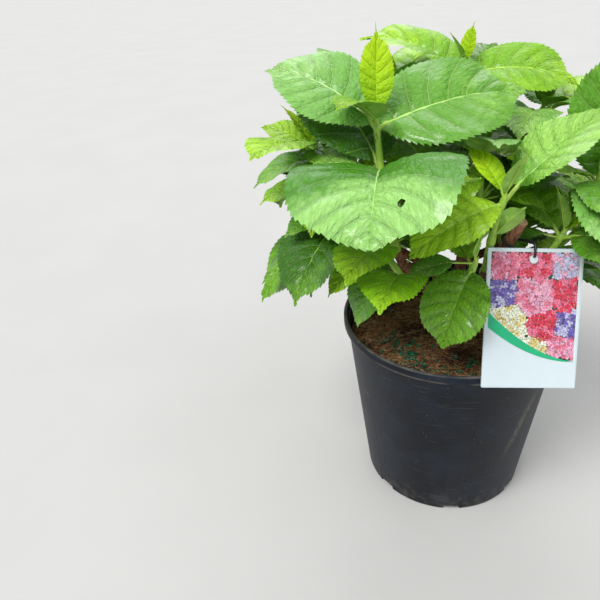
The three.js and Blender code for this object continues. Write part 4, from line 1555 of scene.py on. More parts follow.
@dataclass
class LeafForm:
    """How a blade becomes a thin shell with teeth, veins and quilting."""

    fine_across: tuple[float, ...] = (
        0, 0.03, 0.10, 0.18, 0.27, 0.37, 0.47, 0.57, 0.67, 0.77, 0.86, 0.94, 1,
    )
    plain_across: tuple[float, ...] = (0, 0.04, 0.16, 0.30, 0.45, 0.60, 0.75, 0.89, 1)
    fine_from: float = 74
    rib: float = 0.0080
    rib_taper: float = 0.0062
    half_thick: float = 0.17
    teeth: float = 13
    teeth_by_length: float = 0.15
    tooth: float = 0.018
    tooth_ahead: float = 0.5
    tooth_rows: tuple[tuple[float, float], ...] = ((0, 0), (0.45, 0.55), (0.8, 1))
    drawn: float = 0.22
    drawn_young: float = 0.7
    slim_young: float = 0.84
    broad_blunt: float = 0.2
    veins: int = 8
    vein_shift: float = 0.35
    quilt: float = 0.018
    lump: float = 0.0045
    wave: float = 0.018
    groove: float = 0.6
    hole_rows: int = 4

    def rows(self, row: LeafRow) -> tuple[Array, Array]:
        """The rows across a blade, dealt evenly along its margin.

        Args:
            row: the leaf's sizes.

        Returns:
            Where they leave the midrib and how far their ends stand out.
        """
        count = round(self.teeth + self.teeth_by_length * row.length)
        phase = np.array([p for p, _ in self.tooth_rows])
        out = np.array([h for _, h in self.tooth_rows])
        far = np.append(((np.arange(count)[:, None] + phase) / count).ravel(), 1.0)
        s = np.linspace(0.003, 0.997, 400)
        x = Blade.margin_at(s)
        edge = np.stack([x, 0.5 * row.wide * Blade.half_width(x, row.blunt)], 1)
        arc = walked(edge)
        strength = np.clip((far - 0.03) / 0.05, 0, 1) * (1 - 0.45 * np.clip((far - 0.8) / 0.2, 0, 1))
        height = np.append(np.tile(out, count), 0.0) * strength * self.tooth * row.length
        return np.interp(far * arc[-1], arc, s), height

    def relief(self, s: Array, v: Array, length: float, turn: float) -> Array:
        """How far the blade rises between its veins and waves along its edge.

        Args:
            s: where the rows leave the midrib.
            v: how far across the blade the points are.
            length: the blade's length.
            turn: where its waves start.

        Returns:
            The heights.
        """
        a = np.abs(v)
        phase = self.veins * s + np.where(v > 0, self.vein_shift, 0.0)
        bulge = np.abs(np.cos(math.pi * phase)) ** 0.6
        bulge = bulge * np.sin(math.pi * np.minimum(a * 0.94 + 0.03, 1) ** 0.8) ** 0.7
        ladder = np.abs(np.sin(math.pi * (5.2 * a + 0.4 * np.sin(9 * s + turn)))) * bulge
        lumps = np.sin(23 * s + 3 * np.sin(7 * v + turn)) * np.sin(13 * v + 4 * np.sin(9 * s + turn))
        fade = np.clip(s / 0.06, 0, 1) * np.clip((1 - s) / 0.08, 0, 1)
        edge = np.sin(2 * math.pi * (2.3 * s + 0.2 * np.sign(v)) + turn) * a**3
        groove = self.groove * np.exp(-((a / 0.07) ** 2)) * (1 - 0.7 * s) * length / 100
        puff = self.quilt * (0.7 * bulge + 0.45 * ladder) + self.lump * lumps * a
        return length * fade * (puff + self.wave * edge) - groove

    def toothed(self, top: Array, height: Array) -> None:
        """Draws the ends of the rows out into teeth that point forward.

        Args:
            top: the upper face's points, which are changed.
            height: how far each row's ends stand out.
        """
        for end, inner in ((0, 1), (-1, -2)):
            edge = top[:, end].copy()
            ahead = unit(np.gradient(edge, axis=0))
            outward = edge - top[:, inner]
            outward = unit(outward - ahead * dot(outward, ahead)[:, None])
            top[:, end] = edge + height[:, None] * (outward + ahead * self.tooth_ahead)

    def rings(self, row: LeafRow, s: Array, v: Array) -> list[Array]:
        """Finds the outlines of what insects have eaten out of a blade.

        Args:
            row: the leaf's sizes.
            s: where its rows leave the midrib.
            v: how far across the blade its columns are.

        Returns:
            For each hole, the row and column of each point round it.
        """
        rings = []
        for at_s, at_v in row.holes:
            i, k = int(np.searchsorted(s, at_s)), int(np.searchsorted(v, at_v))
            j, m = i + self.hole_rows, k + 1
            ring = [(i, n) for n in range(k, m)] + [(n, m) for n in range(i, j)]
            ring += [(j, n) for n in range(m, k, -1)] + [(n, k) for n in range(j, i, -1)]
            rings.append(np.array(ring))
        return rings

    @staticmethod
    def rounded(rings: Sequence[Array], grids: Sequence[Array]) -> None:
        """Moves the points round each hole onto an oval.

        Args:
            rings: the row and column of each point round a hole.
            grids: how far along and across the blade its points are, which is changed.
        """
        for ring in rings:
            spots = np.array([grid[ring[:, 0], ring[:, 1]] for grid in grids])
            middle = spots.mean(1, keepdims=True)
            off = (spots - middle) / (0.5 * np.ptp(spots, 1))[:, None]
            spots = middle + (spots - middle) / np.linalg.norm(off, axis=0)
            for grid, spot in zip(grids, spots):
                grid[ring[:, 0], ring[:, 1]] = spot

    def grids(self, row: LeafRow, s: Array, v: Array, half: Array, young: bool) -> tuple[Array, Array]:
        """Places a blade's points, drawn in towards its tip and close together at its midrib.

        Args:
            row: the leaf's sizes.
            s: where its rows leave the midrib.
            v: how far across the blade its columns are.
            half: half its width there.
            young: whether it is a young leaf.

        Returns:
            How far along and across the blade each point is.
        """
        drawn, slim = (self.drawn_young, self.slim_young) if young else (self.drawn, 1)
        tip = np.clip((s - 0.5) / 0.5, 0, 1)
        narrow = slim * (1 - drawn * (1 - row.blunt) * tip * tip * (3 - 2 * tip))
        narrow *= 1 + self.broad_blunt * row.blunt * np.sin(math.pi * s**1.5) ** 2
        grid = v * narrow[:, None]
        middle = len(v) // 2
        side = np.minimum((self.rib - self.rib_taper * s) / half, 0.6 * v[middle + 2] * narrow)
        grid[:, middle - 1], grid[:, middle + 1] = -side, side
        return np.repeat(s[:, None], len(v), 1), grid

    @staticmethod
    def faces(rows: int, columns: int, rings: Sequence[Array]) -> list[Array]:
        """Joins the points of a leaf's upper and lower face into a closed shell.

        Args:
            rows: how many rows of points the upper face has.
            columns: how many points a row has. The lower face shares the first and the last.
            rings: the row and column of each point round a hole.

        Returns:
            The faces of the upper face, its midrib, the lower face and all the edges.
        """
        count = rows * columns
        a = np.arange(count).reshape(rows, columns)
        b = a.copy()
        b[:, 1:-1] = count + np.arange(rows * (columns - 2)).reshape(rows, columns - 2)
        whole = np.ones((rows - 1, columns - 1), bool)
        edges = []
        for ring in rings:
            low, high = ring.min(0), ring.max(0)
            whole[low[0] : high[0], low[1] : high[1]] = False
            here, after = ring.T, np.roll(ring, -1, 0).T
            edges.append(np.stack([a[*here], b[*here], b[*after], a[*after]], -1)[:, ::-1])
        for i, way in ((0, 1), (rows - 1, -1)):
            quads = np.stack([a[i, 1:-2], b[i, 1:-2], b[i, 2:-1], a[i, 2:-1]], -1)
            corners = np.array([[a[i, 0], b[i, 1], a[i, 1]], [a[i, -2], b[i, -2], a[i, -1]]])
            edges += [quads[:, ::way], corners[:, ::way]]
        upper = np.stack([a[:-1, :-1], a[:-1, 1:], a[1:, 1:], a[1:, :-1]], -1)
        lower = np.stack([b[:-1, :-1], b[1:, :-1], b[1:, 1:], b[:-1, 1:]], -1)
        rib = np.zeros_like(whole)
        rib[:, columns // 2 - 1 : columns // 2 + 1] = True
        return [upper[whole & ~rib], upper[whole & rib], lower[whole], *edges]

    def build(self, blade: Blade, age: int, tint: float, pile: Pile) -> None:
        """Adds a leaf's shell to a pile.

        Args:
            blade: the leaf.
            age: the number of its upper finish. The lower finish follows the ages, then the ribs'.
            tint: how light it is.
            pile: the pile.
        """
        row, young = blade.row, age == Age.YOUNG
        across = np.array(self.fine_across if row.length > self.fine_from else self.plain_across)
        v = np.concatenate([-across[:0:-1], across])
        s, height = self.rows(row)
        half = 0.5 * row.wide * blade.half_width(blade.margin_at(s), row.blunt)
        grids = self.grids(row, s, v, np.maximum(half, 0.001), young)
        rings = self.rings(row, s, v)
        self.rounded(rings, grids)
        rise = self.relief(*grids, row.length, row.az + 7 * row.level) * (self.slim_young if young else 1)
        thick = self.half_thick * (1 - np.abs(v) ** 6)
        top = blade.surface(*grids, rise + thick)
        self.toothed(top, height)
        low = blade.surface(*(grid[:, 1:-1] for grid in (*grids, rise - thick)))
        spots = np.stack([grids[1] * half[:, None], grids[0]], -1)
        spots = np.concatenate([spots.reshape(-1, 2), spots[:, 1:-1].reshape(-1, 2)])
        faces = self.faces(*rise.shape, rings)
        under = len(Age)
        skins = [age, under + 1 + age] + [under] * (len(faces) - 2)
        pile.add(np.concatenate([top.reshape(-1, 3), low.reshape(-1, 3)]), faces, skins, spots, tint)


@dataclass
class ShootForm:
    """How a green shoot, its leaf stalks and its tip bud are shaped."""

    sides: int = 14
    rings: int = 44
    swelling: float = 0.22
    swelling_reach: float = 4.5
    stalk_sides: int = 8
    stalk_radius: float = 1.75
    smallest_stalk: float = 0.45
    midrib_end: float = 0.86
    bud_length: float = 6.5
    bud_radii: tuple[float, ...] = (1.7, 2.1, 2.0, 1.6, 1.1, 0.55, 0.12)
    bud_sides: int = 10
    twig_ends: tuple[float, float] = (1.7, 1.35)
    twig_rings: int = 6
    twig_sides: int = 10

    def shoot(self, limb: Limb, nodes: Sequence[Array], pile: Pile) -> None:
        """Adds a shoot that swells at its nodes.

        Args:
            limb: the shoot.
            nodes: the points that carry leaves.
            pile: the pile.
        """
        points, radii = limb.fine(self.rings)
        grown = radii.copy()
        for node in nodes:
            off = np.linalg.norm(points - node, axis=1)
            grown += radii * self.swelling * np.exp(-((off / self.swelling_reach) ** 2))
        pile.add(*tubes(points[None], grown[None], self.sides), 0)
        bud = points[-1] + limb.way * (np.linspace(-0.15, 1, len(self.bud_radii))[:, None] * self.bud_length)
        pile.add(*tubes(bud[None], np.array([self.bud_radii]), self.bud_sides), 1)

    def twig(self, start: Array, tip: Array, pile: Pile) -> None:
        """Adds a side twig, from its start to its tip."""
        line = start + (tip - start) * np.linspace(0, 1, self.twig_rings)[:, None]
        pile.add(*tubes(line[None], np.linspace(*self.twig_ends, self.twig_rings)[None], self.twig_sides), 0)

    def stalk(self, blade: Blade, pile: Pile) -> None:
        """Adds a leaf's stalk, which runs on under the blade as its midrib.

        Args:
            blade: the leaf.
            pile: the pile.
        """
        size = self.stalk_radius * max(self.smallest_stalk, min(1.12, blade.row.length / 90))
        line = blade.node + (blade.base - blade.node) * np.linspace(0, 0.9, 6)[:, None]
        swell = 1 + 0.35 * np.exp(-((np.linspace(0, 0.9, 6) * blade.row.petiole / 4) ** 2))
        s = np.linspace(0.02, self.midrib_end, 16)
        p, _, _, up = blade.midrib(s)
        taper = 0.82 * (1 - s / self.midrib_end) ** 0.75 + 0.13
        under = p - up * (0.12 + size * taper * np.clip(s / 0.1, 0.35, 1))[:, None]
        radii = np.concatenate([size * swell, size * taper])
        pile.add(*tubes(np.concatenate([line, under])[None], radii[None], self.stalk_sides), 1)


def leaf_age(blade: Blade, dice: Dice) -> Age:
    """The look of a leaf, given in its row or dealt by its place on the shoot.

    Args:
        blade: the leaf.
        dice: the shoot's numbers.

    Returns:
        The age.
    """
    chance = dice.roll()
    row = blade.row
    if row.age is not None:
        return row.age
    if row.level == 0:
        return Age.YOUNG if chance < 0.7 else Age.FRESH
    if row.side >= Shrub.INNER_SIDE:
        if chance < 0.3:
            return Age.FRESH
        return Age.GREEN if chance < 1.0 - 0.12 * row.level else Age.DEEP
    if row.side >= 2:
        return Age.FRESH if chance < 0.6 else Age.GREEN
    deals = {
        1: ((0.45, Age.FRESH), (0.85, Age.GREEN), (1, Age.PALE)),
        2: ((0.15, Age.FRESH), (0.65, Age.GREEN), (0.8, Age.PALE), (1, Age.DEEP)),
    }
    for limit, age in deals.get(row.level, ((0.35, Age.GREEN), (1, Age.DEEP))):
        if chance <= limit:
            return age
    return Age.DEEP


# How far the card pushes two leaves aside, in degrees, by their shoot, level and side
PUSHED = {("front_low", 1, 0): -10, ("right_front", 1, 0): 14}


@dataclass
class Foliage:
    """The leafy shoots, each a mesh of leaves and a mesh of stems."""

    shrub: Shrub
    leaf: LeafForm = field(default_factory=LeafForm)
    stem: ShootForm = field(default_factory=ShootForm)

    def build(self) -> None:
        """Builds every shoot."""
        ages = [LEAF_FINISHES[age].make() for age in Age]
        skins = [*ages, UNDERSIDE.make(), *(rib_of(LEAF_FINISHES[age]).make() for age in Age)]
        greens = [GREEN_SHOOT.make(), STALK.make()]
        for number, row in enumerate(SHOOTS):
            self.build_shoot(row, number, skins, greens)

    def build_shoot(
        self, row: ShootRow, number: int, skins: Sequence[Material], greens: Sequence[Material]
    ) -> None:
        """Builds a shoot's leaves and stems.

        Args:
            row: the shoot.
            number: its place in the list of shoots.
            skins: the leaf finishes.
            greens: the finishes of green stems.
        """
        dice = Dice(1 + number)
        leaves, stems = Pile(), Pile()
        mine = [self.pushed(blade) for blade in self.shrub.leaves if blade.shoot == row.name]
        nodes = [self.shrub.node(row.name, level, row.pairs) for level in range(1, row.pairs)]
        self.stem.shoot(self.shrub.shoots[row.name], nodes, stems)
        for blade in mine:
            age, light = leaf_age(blade, dice), dice.roll()
            self.leaf.build(blade, age, light if blade.row.light is None else blade.row.light, leaves)
            self.stem.stalk(blade, stems)
        for name, start, tip in self.shrub.twigs:
            if name == row.name:
                self.stem.twig(start, tip, stems)
        stand(leaves.make(f"leaves_{row.name}", skins, True, 75), "leaf", f"foliage_{row.name}")
        stand(stems.make(f"stems_{row.name}", greens, angle=60), "leaf", f"foliage_{row.name}")

    @staticmethod
    def pushed(blade: Blade) -> Blade:
        """A leaf where the card beside it has pushed it."""
        row = blade.row
        swing = PUSHED.get((blade.shoot, row.level, row.side))
        return Blade(blade.shoot, blade.node, replace(row, az=row.az + swing)) if swing else blade


# Bark


@dataclass
class Wood:
    """The root crown, the woody stems and the boughs, with flaking bark."""

    shrub: Shrub
    crown_foot: float = 17
    crown_waist: float = 11.5
    crown_low: float = 152
    crown_top: float = 184
    shoulder: float = 0.72
    shoulder_drop: float = 0.285
    sides: int = 28
    step: float = 1.1
    flake: float = 0.42
    crown_seed: int = 3
    stem_seed: int = 11
    bough_seed: int = 31

    def build(self) -> None:
        """Builds every woody limb."""
        finishes = [BarkFinish().make(), CUT_WOOD.make()]
        z = np.linspace(self.crown_low, self.crown_top, 40)
        u = (z - self.crown_low) / (self.crown_top - self.crown_low)
        radii = self.crown_waist + (self.crown_foot - self.crown_waist) * (1 - u) ** 2
        drop = (np.maximum(u - self.shoulder, 0) / self.shoulder_drop) ** 2
        radii *= np.sqrt(np.clip(1 - drop, 0.04, 1))
        line = np.stack([0 * z, 0 * z, z], 1)
        self.limb("root_crown", line, radii, finishes, self.crown_seed)
        for i, (name, one) in enumerate(self.shrub.stems.items()):
            self.limb(f"stem_{name}", *self.fine(one), finishes, self.stem_seed + i)
        for i, (name, one) in enumerate(self.shrub.boughs.items()):
            self.limb(f"bough_{name}", *self.fine(one), finishes, self.bough_seed + i)

    def fine(self, limb: Limb) -> tuple[Array, Array]:
        """A limb's points and radii, spaced finely."""
        return limb.fine(max(12, round(walked(limb.points)[-1] / self.step)))

    def limb(
        self, node: str, line: Array, radii: Array, finishes: Sequence[Material], seed: int
    ) -> None:
        """Builds a limb in flaking bark.

        Args:
            node: the node it stands for.
            line: its points.
            radii: its radius at each.
            finishes: the bark and the cut wood.
            seed: a whole number that its flakes follow.
        """
        chance = np.random.default_rng(seed)
        turn = 2 * math.pi * np.arange(self.sides)[None] / self.sides
        far = walked(line)[:, None]
        relief = np.zeros((len(line), self.sides))
        for waves in (2, 3, 5, 7, 9):
            drift = chance.uniform(-0.06, 0.06)
            phase, slow = chance.uniform(0, 6.28, 2)
            winding = drift * far * waves + 0.9 * np.sin(far / 7 + slow)
            relief += np.sin(waves * turn + phase + winding) / math.sqrt(waves)
        rings = np.sin(far / chance.uniform(2.2, 3.4) + 1.4 * np.sin(turn + phase)) * 0.35
        grain = chance.normal(0, 0.22, relief.shape)
        rough = np.clip((relief + rings) * 0.42 + grain, -1.1, 1.1) * self.flake
        rough[-1] *= 0.4
        pile = Pile()
        points, faces = tubes(line[None], (radii[:, None] + rough)[None], self.sides)
        pile.add(points, faces, [0, 1, 1])
        stand(pile.make(f"bark_{node}", finishes, angle=50), "bark", node)


# The pot and what fills it


@dataclass
class Pot:
    """A round nursery pot with a band under its rim and slots round its foot."""

    profile: tuple[tuple[float, float], ...] = (
        (75.8, 0), (77.13, 1.2), (96.5, 174), (99.7, 174.1), (100, 174.5), (100, 181.1),
        (99.1, 182), (97.6, 182), (97.0, 181.4), (94.36, 171), (75.54, 3),
    )
    sides: int = 144
    slots: int = 7
    slot_size: tuple[float, float, float] = (13, 16, 7)
    slot_middle: float = 74.5
    slot_height: float = 1.5
    slot_turn: float = -80
    edge_round: float = 0.35
    edge_angle: float = 35

    def build(self) -> None:
        """Builds the pot."""
        bare_scene()
        radius, z = self.profile[0]
        bpy.ops.mesh.primitive_circle_add(
            vertices=self.sides, radius=radius * MM, fill_type="NGON", location=(0, 0, z * MM)
        )
        pot = bpy.context.object
        pot.name = "nursery_pot"
        bpy.ops.object.transform_apply()
        bpy.ops.object.mode_set(mode="EDIT")
        for low, high in zip(self.profile, self.profile[1:]):
            lift = (0, 0, (high[1] - low[1]) * MM)
            bpy.ops.mesh.extrude_region_move(TRANSFORM_OT_translate={"value": lift})
            k = high[0] / low[0]
            bpy.ops.transform.resize(value=(k, k, 1), center_override=(0, 0, high[1] * MM))
        bpy.ops.mesh.select_all(action="SELECT")
        bpy.ops.mesh.normals_make_consistent(inside=False)
        bpy.ops.object.mode_set(mode="OBJECT")
        self.cut_slots(pot)
        bevel = pot.modifiers.new("rounded_edges", "BEVEL")
        bevel.width = self.edge_round * MM
        bevel.segments = 2
        bevel.limit_method = "ANGLE"
        bevel.angle_limit = math.radians(self.edge_angle)
        take(pot)
        bpy.ops.object.modifier_apply(modifier=bevel.name)
        pot.data.materials.append(PotFinish().make())
        smooth(pot, 32)
        stand(pot, "pot", "pot")

    def cut_slots(self, pot: Piece) -> None:
        """Cuts the drain slots.

        Args:
            pot: the pot.
        """
        cutters = []
        for i in range(self.slots):
            az = self.slot_turn + 360 / self.slots * i
            place = tuple(polar(az, self.slot_middle, self.slot_height) * MM)
            bpy.ops.mesh.primitive_cube_add(size=1, location=place, rotation=(0, 0, math.radians(az)))
            cutter = bpy.context.object
            cutter.scale = [d * MM for d in self.slot_size]
            cutters.append(cutter)
        bare_scene()
        for cutter in cutters:
            cutter.select_set(True)
        bpy.context.view_layer.objects.active = cutters[0]
        bpy.ops.object.join()
        bpy.ops.object.transform_apply()
        carve(pot, cutters[0], "drain_slots")


@dataclass
class Mulch:
    """A mat of coir over the potting mix, with feed granules on it."""

    low: float = 152.3
    edge: float = 162
    dome: float = 3
    lump: float = 0.9
    crumb: float = 0.35
    sink: float = 1.2
    radius: float = 93.0
    fibres: int = 4600
    fibre_taper: tuple[float, ...] = (0.5, 1, 1, 1, 0.9, 0.4)
    granules: int = 190
    handfuls: tuple[tuple[float, float, float], ...] = (
        (-41, -42, 0.24), (-54, -26, 0.1), (-28, -60, 0.14), (-12, -72, 0.08), (20, -62, 0.08),
        (-62, 30, 0.12), (10, 66, 0.12), (56, 22, 0.12),
    )
    handful_spread: float = 8.5
    granule_sizes: tuple[float, float] = (1.3, 2.1)
    crown: float = 15
    bed_rings: int = 56
    bed_sides: int = 132

    def height(self, x: Array, y: Array) -> Array:
        """The height of the bed.

        Args:
            x: places across.
            y: places across.

        Returns:
            The heights.
        """
        far = np.clip(np.hypot(x, y) / self.radius, 0, 1)
        lumps = np.sin(x / 7.1 + 1.3 * np.sin(y / 9.7)) * np.sin(y / 6.3 + 1.7 * np.sin(x / 8.9))
        crumbs = np.sin(x / 2.3 + y / 3.1) * np.sin(y / 1.9 - x / 4.7)
        mound = self.edge + self.dome * np.cos(0.5 * math.pi * far) - self.sink
        return mound + self.lump * lumps + self.crumb * crumbs

    def build(self) -> None:
        """Builds the bed, its fibres and its granules."""
        chance = np.random.default_rng(5)
        self.build_bed()
        self.build_fibres(chance)
        self.build_granules(chance)

    def build_bed(self) -> None:
        """Builds the closed bed."""
        r = self.radius * np.linspace(1, 0.012, self.bed_rings)[:, None]
        turn = 2 * math.pi * np.arange(self.bed_sides)[None] / self.bed_sides
        x, y = r * np.cos(turn), r * np.sin(turn)
        top = np.stack([x, y, self.height(x, y)], -1)
        foot = np.stack([x[0], y[0], np.full(self.bed_sides, self.low)], -1)
        ends = np.array([[0, 0, self.low], [0, 0, self.height(np.zeros(1), np.zeros(1))[0]]])
        points = np.concatenate([foot, top.reshape(-1, 3), ends])
        wall = ring_wall(self.bed_rings + 1, self.bed_sides)
        k = np.arange(self.bed_sides)
        after = (k + 1) % self.bed_sides
        last, low_end, top_end = self.bed_rings * self.bed_sides, len(points) - 2, len(points) - 1
        below = np.stack([after, k, np.full_like(k, low_end)], -1)
        above = np.stack([last + k, last + after, np.full_like(k, top_end)], -1)
        pile = Pile()
        pile.add(points, [wall, below, above])
        stand(pile.make("mulch_bed", [MULCH_BED.make()]), "mulch", "coir_mulch")

    def build_fibres(self, chance: np.random.Generator) -> None:
        """Scatters thin curved fibres over the bed.

        Args:
            chance: seeded numbers.
        """
        n, rings = self.fibres, len(self.fibre_taper)
        far = (self.radius - 3) * np.sqrt(chance.uniform(0.02, 1, n))
        turn = chance.uniform(0, 2 * math.pi, n)
        heading_turn = chance.uniform(0, 2 * math.pi, n)
        curl = chance.normal(0, 1.1, n)
        length = chance.gamma(3, 4.2, n) + 4
        t = np.linspace(-0.5, 0.5, rings)
        way = heading_turn[:, None] + curl[:, None] * t
        dx = np.cumsum(np.cos(way), 1) * (length / rings)[:, None]
        dy = np.cumsum(np.sin(way), 1) * (length / rings)[:, None]
        x = far[:, None] * np.cos(turn[:, None]) + dx - dx.mean(1, keepdims=True)
        y = far[:, None] * np.sin(turn[:, None]) + dy - dy.mean(1, keepdims=True)
        r = np.hypot(x, y)
        keep = (r.max(1) < self.radius - 0.6) & (r.min(1) > self.crown)
        x, y = x[keep], y[keep]
        m = len(x)
        lift = chance.gamma(1.6, 0.55, m)[:, None] + chance.normal(0, 0.7, m)[:, None] * (4 * t**2)
        z = self.height(x, y) + np.clip(lift, -0.4, 4.2)
        radii = chance.uniform(0.18, 0.5, m)[:, None] * np.array(self.fibre_taper)
        points, faces = tubes(np.stack([x, y, z], -1), radii, 3)
        patch = np.sin(x[:, 2] / 13 + 0.8) * np.sin(y[:, 2] / 11 - 0.4) + chance.normal(0, 0.5, m)
        kind = np.where(patch > 0.55, 2, np.where(chance.uniform(0, 1, m) < 0.36, 1, 0))
        pile = Pile()
        pile.add(points, faces)
        pile.finishes = [np.repeat(kind, len(part) // m) for part in faces]
        stand(pile.make("mulch_fibres", [finish.make() for finish in FIBRES]), "mulch", "coir_mulch")

    def build_granules(self, chance: np.random.Generator) -> None:
        """Strews feed granules in a few handfuls.

        Args:
            chance: seeded numbers.
        """
        bare_scene()
        bpy.ops.mesh.primitive_ico_sphere_add(subdivisions=2, radius=1)
        ball = bpy.context.object
        shape = np.array([v.co for v in ball.data.vertices])
        faces = np.array([f.vertices for f in ball.data.polygons])
        bpy.data.objects.remove(ball)
        handfuls = np.array(self.handfuls)
        which = chance.choice(len(handfuls), self.granules, p=handfuls[:, 2])
        place = handfuls[which, :2] + chance.normal(0, self.handful_spread, (self.granules, 2))
        r = np.hypot(place[:, 0], place[:, 1])
        place = place[(r < self.radius - 4) & (r > self.crown + 3)]
        pile = Pile()
        for x, y in place:
            size = chance.uniform(*self.granule_sizes)
            lumps = 1 + 0.09 * np.sin(3 * shape + chance.uniform(0, 6.28, 3)).sum(1, keepdims=True)
            z = self.height(np.array([x]), np.array([y]))[0] + size * 0.55
            points = shape * lumps * size * np.array([1, 1, 0.86]) + [x, y, z]
            pile.add(points, [faces], int(chance.integers(0, len(GRANULES))))
        stand(pile.make("feed_granules", [finish.make() for finish in GRANULES]), "mulch", "coir_mulch")


# The picture tag


class Layer(IntEnum):
    """The order in which the inks lie on the card."""

    GROUND = 0
    LEAVES = 1
    FLORETS = 2
    EYES = 4
    BAND = 5


@dataclass
class FlowerHead:
    """A head of florets printed on the card: its middle and radius, and its two inks."""

    u: float
    v: float
    radius: float
    ink: Ink
    accent: Ink
    floret: float = 2.5


@dataclass
class Picture:
    """The part of the card that is printed, with a foot that sweeps up on one side."""

    half: float
    top: float
    low: float
    sweep: float

    def foot(self, u: Array | float) -> Array | float:
        """The height of the picture's foot at places across it."""
        return self.low + self.sweep * ((u - self.half) / (2 * self.half)) ** 2

    def trimmed(self, outline: Array) -> Array | None:
        """Cuts a petal off at the picture's edge.

        Args:
            outline: its corners.

        Returns:
            What is left of it, or None where that is a sliver.
        """
        u = np.clip(outline[:, 0], -self.half, self.half)
        cut = np.stack([u, np.clip(outline[:, 1], self.foot(u), self.top)], 1)
        ahead = np.roll(cut, -1, 0)
        area = 0.5 * abs((cut[:, 0] * ahead[:, 1] - cut[:, 1] * ahead[:, 0]).sum())
        whole = area > 0.8 and np.linalg.norm(ahead - cut, axis=1).min() > 0.05
        return cut if whole else None


def turned(outline: Array, angle: float) -> Array:
    """An outline turned by an angle."""
    c, s = math.cos(angle), math.sin(angle)
    return outline @ np.array([[c, s], [-s, c]])


